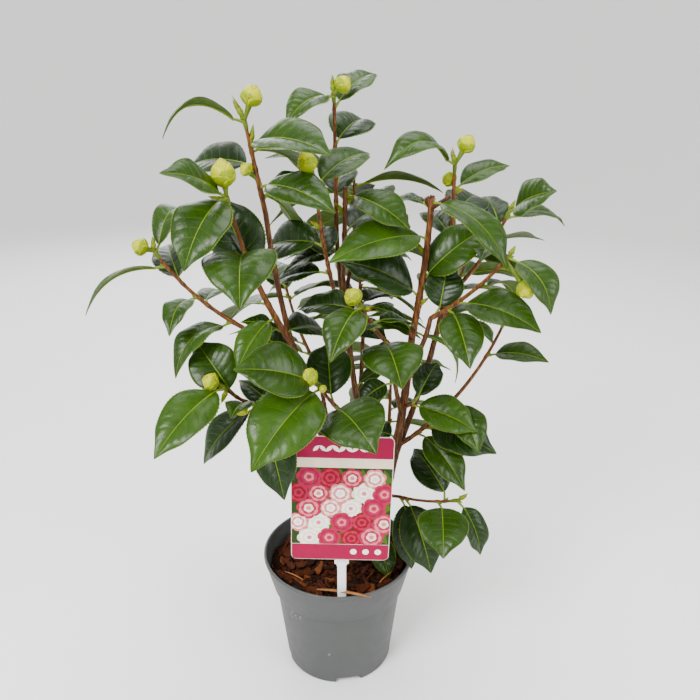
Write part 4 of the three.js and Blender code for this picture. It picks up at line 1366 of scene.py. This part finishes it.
def add_blossom(piles, inks, x, y, reach, spin, base, half):
    """A double flower: five wheels of petals, each smaller and turned on the one under it, kept inside
    the picture. Its base sets it over or under its neighbours."""
    wheels = zip(inks, (1, 0.8, 0.6, 0.4, 0.2), (7, 6, 6, 5, 3))
    for k, (ink, share, count) in enumerate(wheels):
        px, py = petals(count, reach * share, spin + 0.6 * k, 0.84)
        px = np.clip(x + px, -half, half)
        py = np.clip(y + py, PICTURE["low"] + 0.2, PICTURE["high"] - 0.2)
        plate(piles[ink], px, py, base + LAYER["wheel"] * k, base + LAYER["wheel"] * (k + 1))


def make_print():
    """Plain bands, a staggered lattice of double blossoms with leaves between them, and a garland of
    small leaves in the header."""
    piles = {name: Pile() for name in INKS}
    w = CARD["width"] / 2 - 0.5
    top = CARD["height"] / 2 - 0.5

    def band(ink, low, high):
        plate(piles[ink], np.array([-w, w, w, -w]), np.array([low, low, high, high]), 0, 0.1)

    band("pink", 42, top - 4)
    x, y = rounded(2 * w, 12, 4)
    plate(piles["pink"], x, y + top - 6, 0, 0.09)
    band("cream", 33, 41.6)
    band("green", PICTURE["low"], PICTURE["high"])
    band("pink", -top + 4, -46.4)
    plate(piles["pink"], x, y - top + 6, 0, 0.09)
    for k in range(9):
        px, py = leaflet(4.6 - 0.2 * abs(k - 4), 0.8 * (-1) ** k)
        plate(piles["white"], px + (k - 4) * 5.6, py + 51.4, 0.1, 0.16 + 0.01 * (k % 2))
    turn = around(24)
    for k in range(3):
        plate(piles["white"], 2.9 * np.cos(turn) + 12 + k * 11, 2.9 * np.sin(turn) - 54, 0.1, 0.2)
    draw = np.random.default_rng(17)
    sprigs = 0
    for row in range(BLOSSOMS["rows"]):
        count = 5 if row % 2 else 4
        for col in range(count):
            x = (col - (count - 1) / 2) * BLOSSOMS["across"] + draw.uniform(-1, 1)
            y = BLOSSOMS["low"] + row * BLOSSOMS["up"] + draw.uniform(-1, 1)
            for side in (-1, 1):
                lx, ly = leaflet(8, 0.9 * side + row)
                lx = np.clip(x + BLOSSOMS["across"] / 2 + lx, -w, w)
                ly = np.clip(y + side + ly, PICTURE["low"] + 0.2, PICTURE["high"] - 0.2)
                if np.ptp(lx) > 1 and np.ptp(ly) > 1:
                    sprigs += 1
                    plate(piles["moss"], lx, ly, 0.1, 0.1 + LAYER["leaf"] * sprigs)
            tier = (row * 2 + col * 3) % 5
            reach = BLOSSOMS["reach"] * draw.uniform(0.86, 1.04)
            base = LAYER["base"] + LAYER["tier"] * tier + LAYER["row"] * row
            add_blossom(piles, SCHEMES[tier], x, y, reach, draw.uniform(0, 2 * np.pi), base, w)
    for name, pile in piles.items():
        pile.make(f"label_{name}", "label", ["label_card"], print_ink(f"ink_{name}", INKS[name]),
                  shade_smooth=False)


BEVELLED = np.array([  # a bar's corners, in half widths and half depths
    (1, -0.5), (1, 0.5), (0.86, 1), (-0.86, 1), (-1, 0.5), (-1, -0.5), (-0.86, -1), (0.86, -1),
])


def bar_rings(heights, widths, middle_y, depths):
    """Rings up a bevelled bar from its width and depth at each height."""
    x, y = BEVELLED.T / 2
    rows = np.array([heights, widths, depths])[..., None]
    return xyz(CARD["middle_x"] + x * rows[1], middle_y + y * rows[2], rows[0])


def make_stick():
    """The stick, thinned to a point in the compost, and the clip that grips the card's lower edge."""
    pile = Pile()
    middle_y = CARD["front"] + CARD["thick"] + GAP + STICK["thick"] / 2
    heights = (STICK["foot"], STICK["foot"] + 8, STICK["top"] - 1, STICK["top"])
    widths = np.array([0.5, 1, 1, 0.9]) * STICK["width"]
    pile.grid(bar_rings(heights, widths, middle_y, np.full(4, STICK["thick"])))
    low, tall = CARD["foot"] - 1.5 * STICK["clip_height"], STICK["clip_height"]
    heights = (low, low + 0.6, low + tall - 0.6, low + tall)
    inset = np.array([0.94, 1, 1, 0.94])
    jaws = ((STICK["clip_width"], middle_y, STICK["thick"] * 1.02), (9, CARD["front"] - 0.8, 1.4))
    for width, y, depth in jaws:
        pile.grid(bar_rings(heights, width * inset, y, depth * inset))
    pile.make("label_peg", "stick", ["label_stick"], white_plastic(), shade_smooth=False)


# ---- floor and light ------------


def make_floor():
    """A wide round floor that curves up into a wall, so that no horizon shows."""
    bend = np.radians(steps(13, 0, 90))
    curve = [(2.2 + 1.4 * np.sin(a), 1.4 - 1.4 * np.cos(a)) for a in bend]
    profile = [(0.05, 0), (0.8, 0), *curve, (3.6, 3.4)]
    points = revolved(profile, 96)
    at = np.arange(points.shape[0] * 96).reshape(points.shape[0], 96)
    quads = np.stack([at[:-1], at[1:], np.roll(at, -1, 1)[1:], np.roll(at, -1, 1)[:-1]], axis=-1)
    mesh = bpy.data.meshes.new("floor")
    mesh.from_pydata(points.reshape(-1, 3).tolist(), [], [*quads.reshape(-1, 4).tolist(), at[0].tolist()])
    mesh.polygons.foreach_set("use_smooth", [True] * len(mesh.polygons))
    mesh.materials.append(Finish("pale_floor", (0.88, 0.88, 0.875), 0.8, Specular_IOR_Level=0.2).material)
    floor = bpy.data.objects.new("floor", mesh)
    bpy.context.scene.collection.objects.link(floor)
    floor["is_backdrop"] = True


LAMPS = {  # place in metres, size, power
    "key": ((-0.9, -1.2, 1.5), 0.8, 57),
    "fill": ((1.3, -1.0, 1.0), 0.9, 23),
    "top": ((0.1, 0.3, 1.9), 1.2, 27),
    "back": ((-0.6, 1.6, 1.2), 1.2, 18),
}
SKY = 0.85


def make_light():
    world = bpy.data.worlds.new("studio")
    world.use_nodes = True
    world.node_tree.nodes["Background"].inputs["Color"].default_value = (1, 1, 1, 1)
    world.node_tree.nodes["Background"].inputs["Strength"].default_value = SKY
    bpy.context.scene.world = world
    for name, (place, size, power) in LAMPS.items():
        data = bpy.data.lights.new(name, "AREA")
        data.energy, data.size = power, size
        lamp = bpy.data.objects.new(name, data)
        lamp.location = place
        away = np.array(place) - np.array([0, 0, 0.3])
        lamp.rotation_euler = (
            np.arccos(away[2] / np.linalg.norm(away)), 0, np.arctan2(away[1], away[0]) + np.pi / 2,
        )
        lamp.visible_camera = False
        bpy.context.scene.collection.objects.link(lamp)


make_trunk()
make_boughs()
make_stems()
make_cut_twigs()
make_leaves()
make_buds()
make_pot()
make_scuffs()
make_soil()
make_chips()
make_straw()
make_card()
make_print()
make_stick()
make_floor()
make_light()

boxes = {"cad": CAD_BOX, "visual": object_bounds()}
{name: [list(corner) for corner in box] for name, box in boxes.items()}
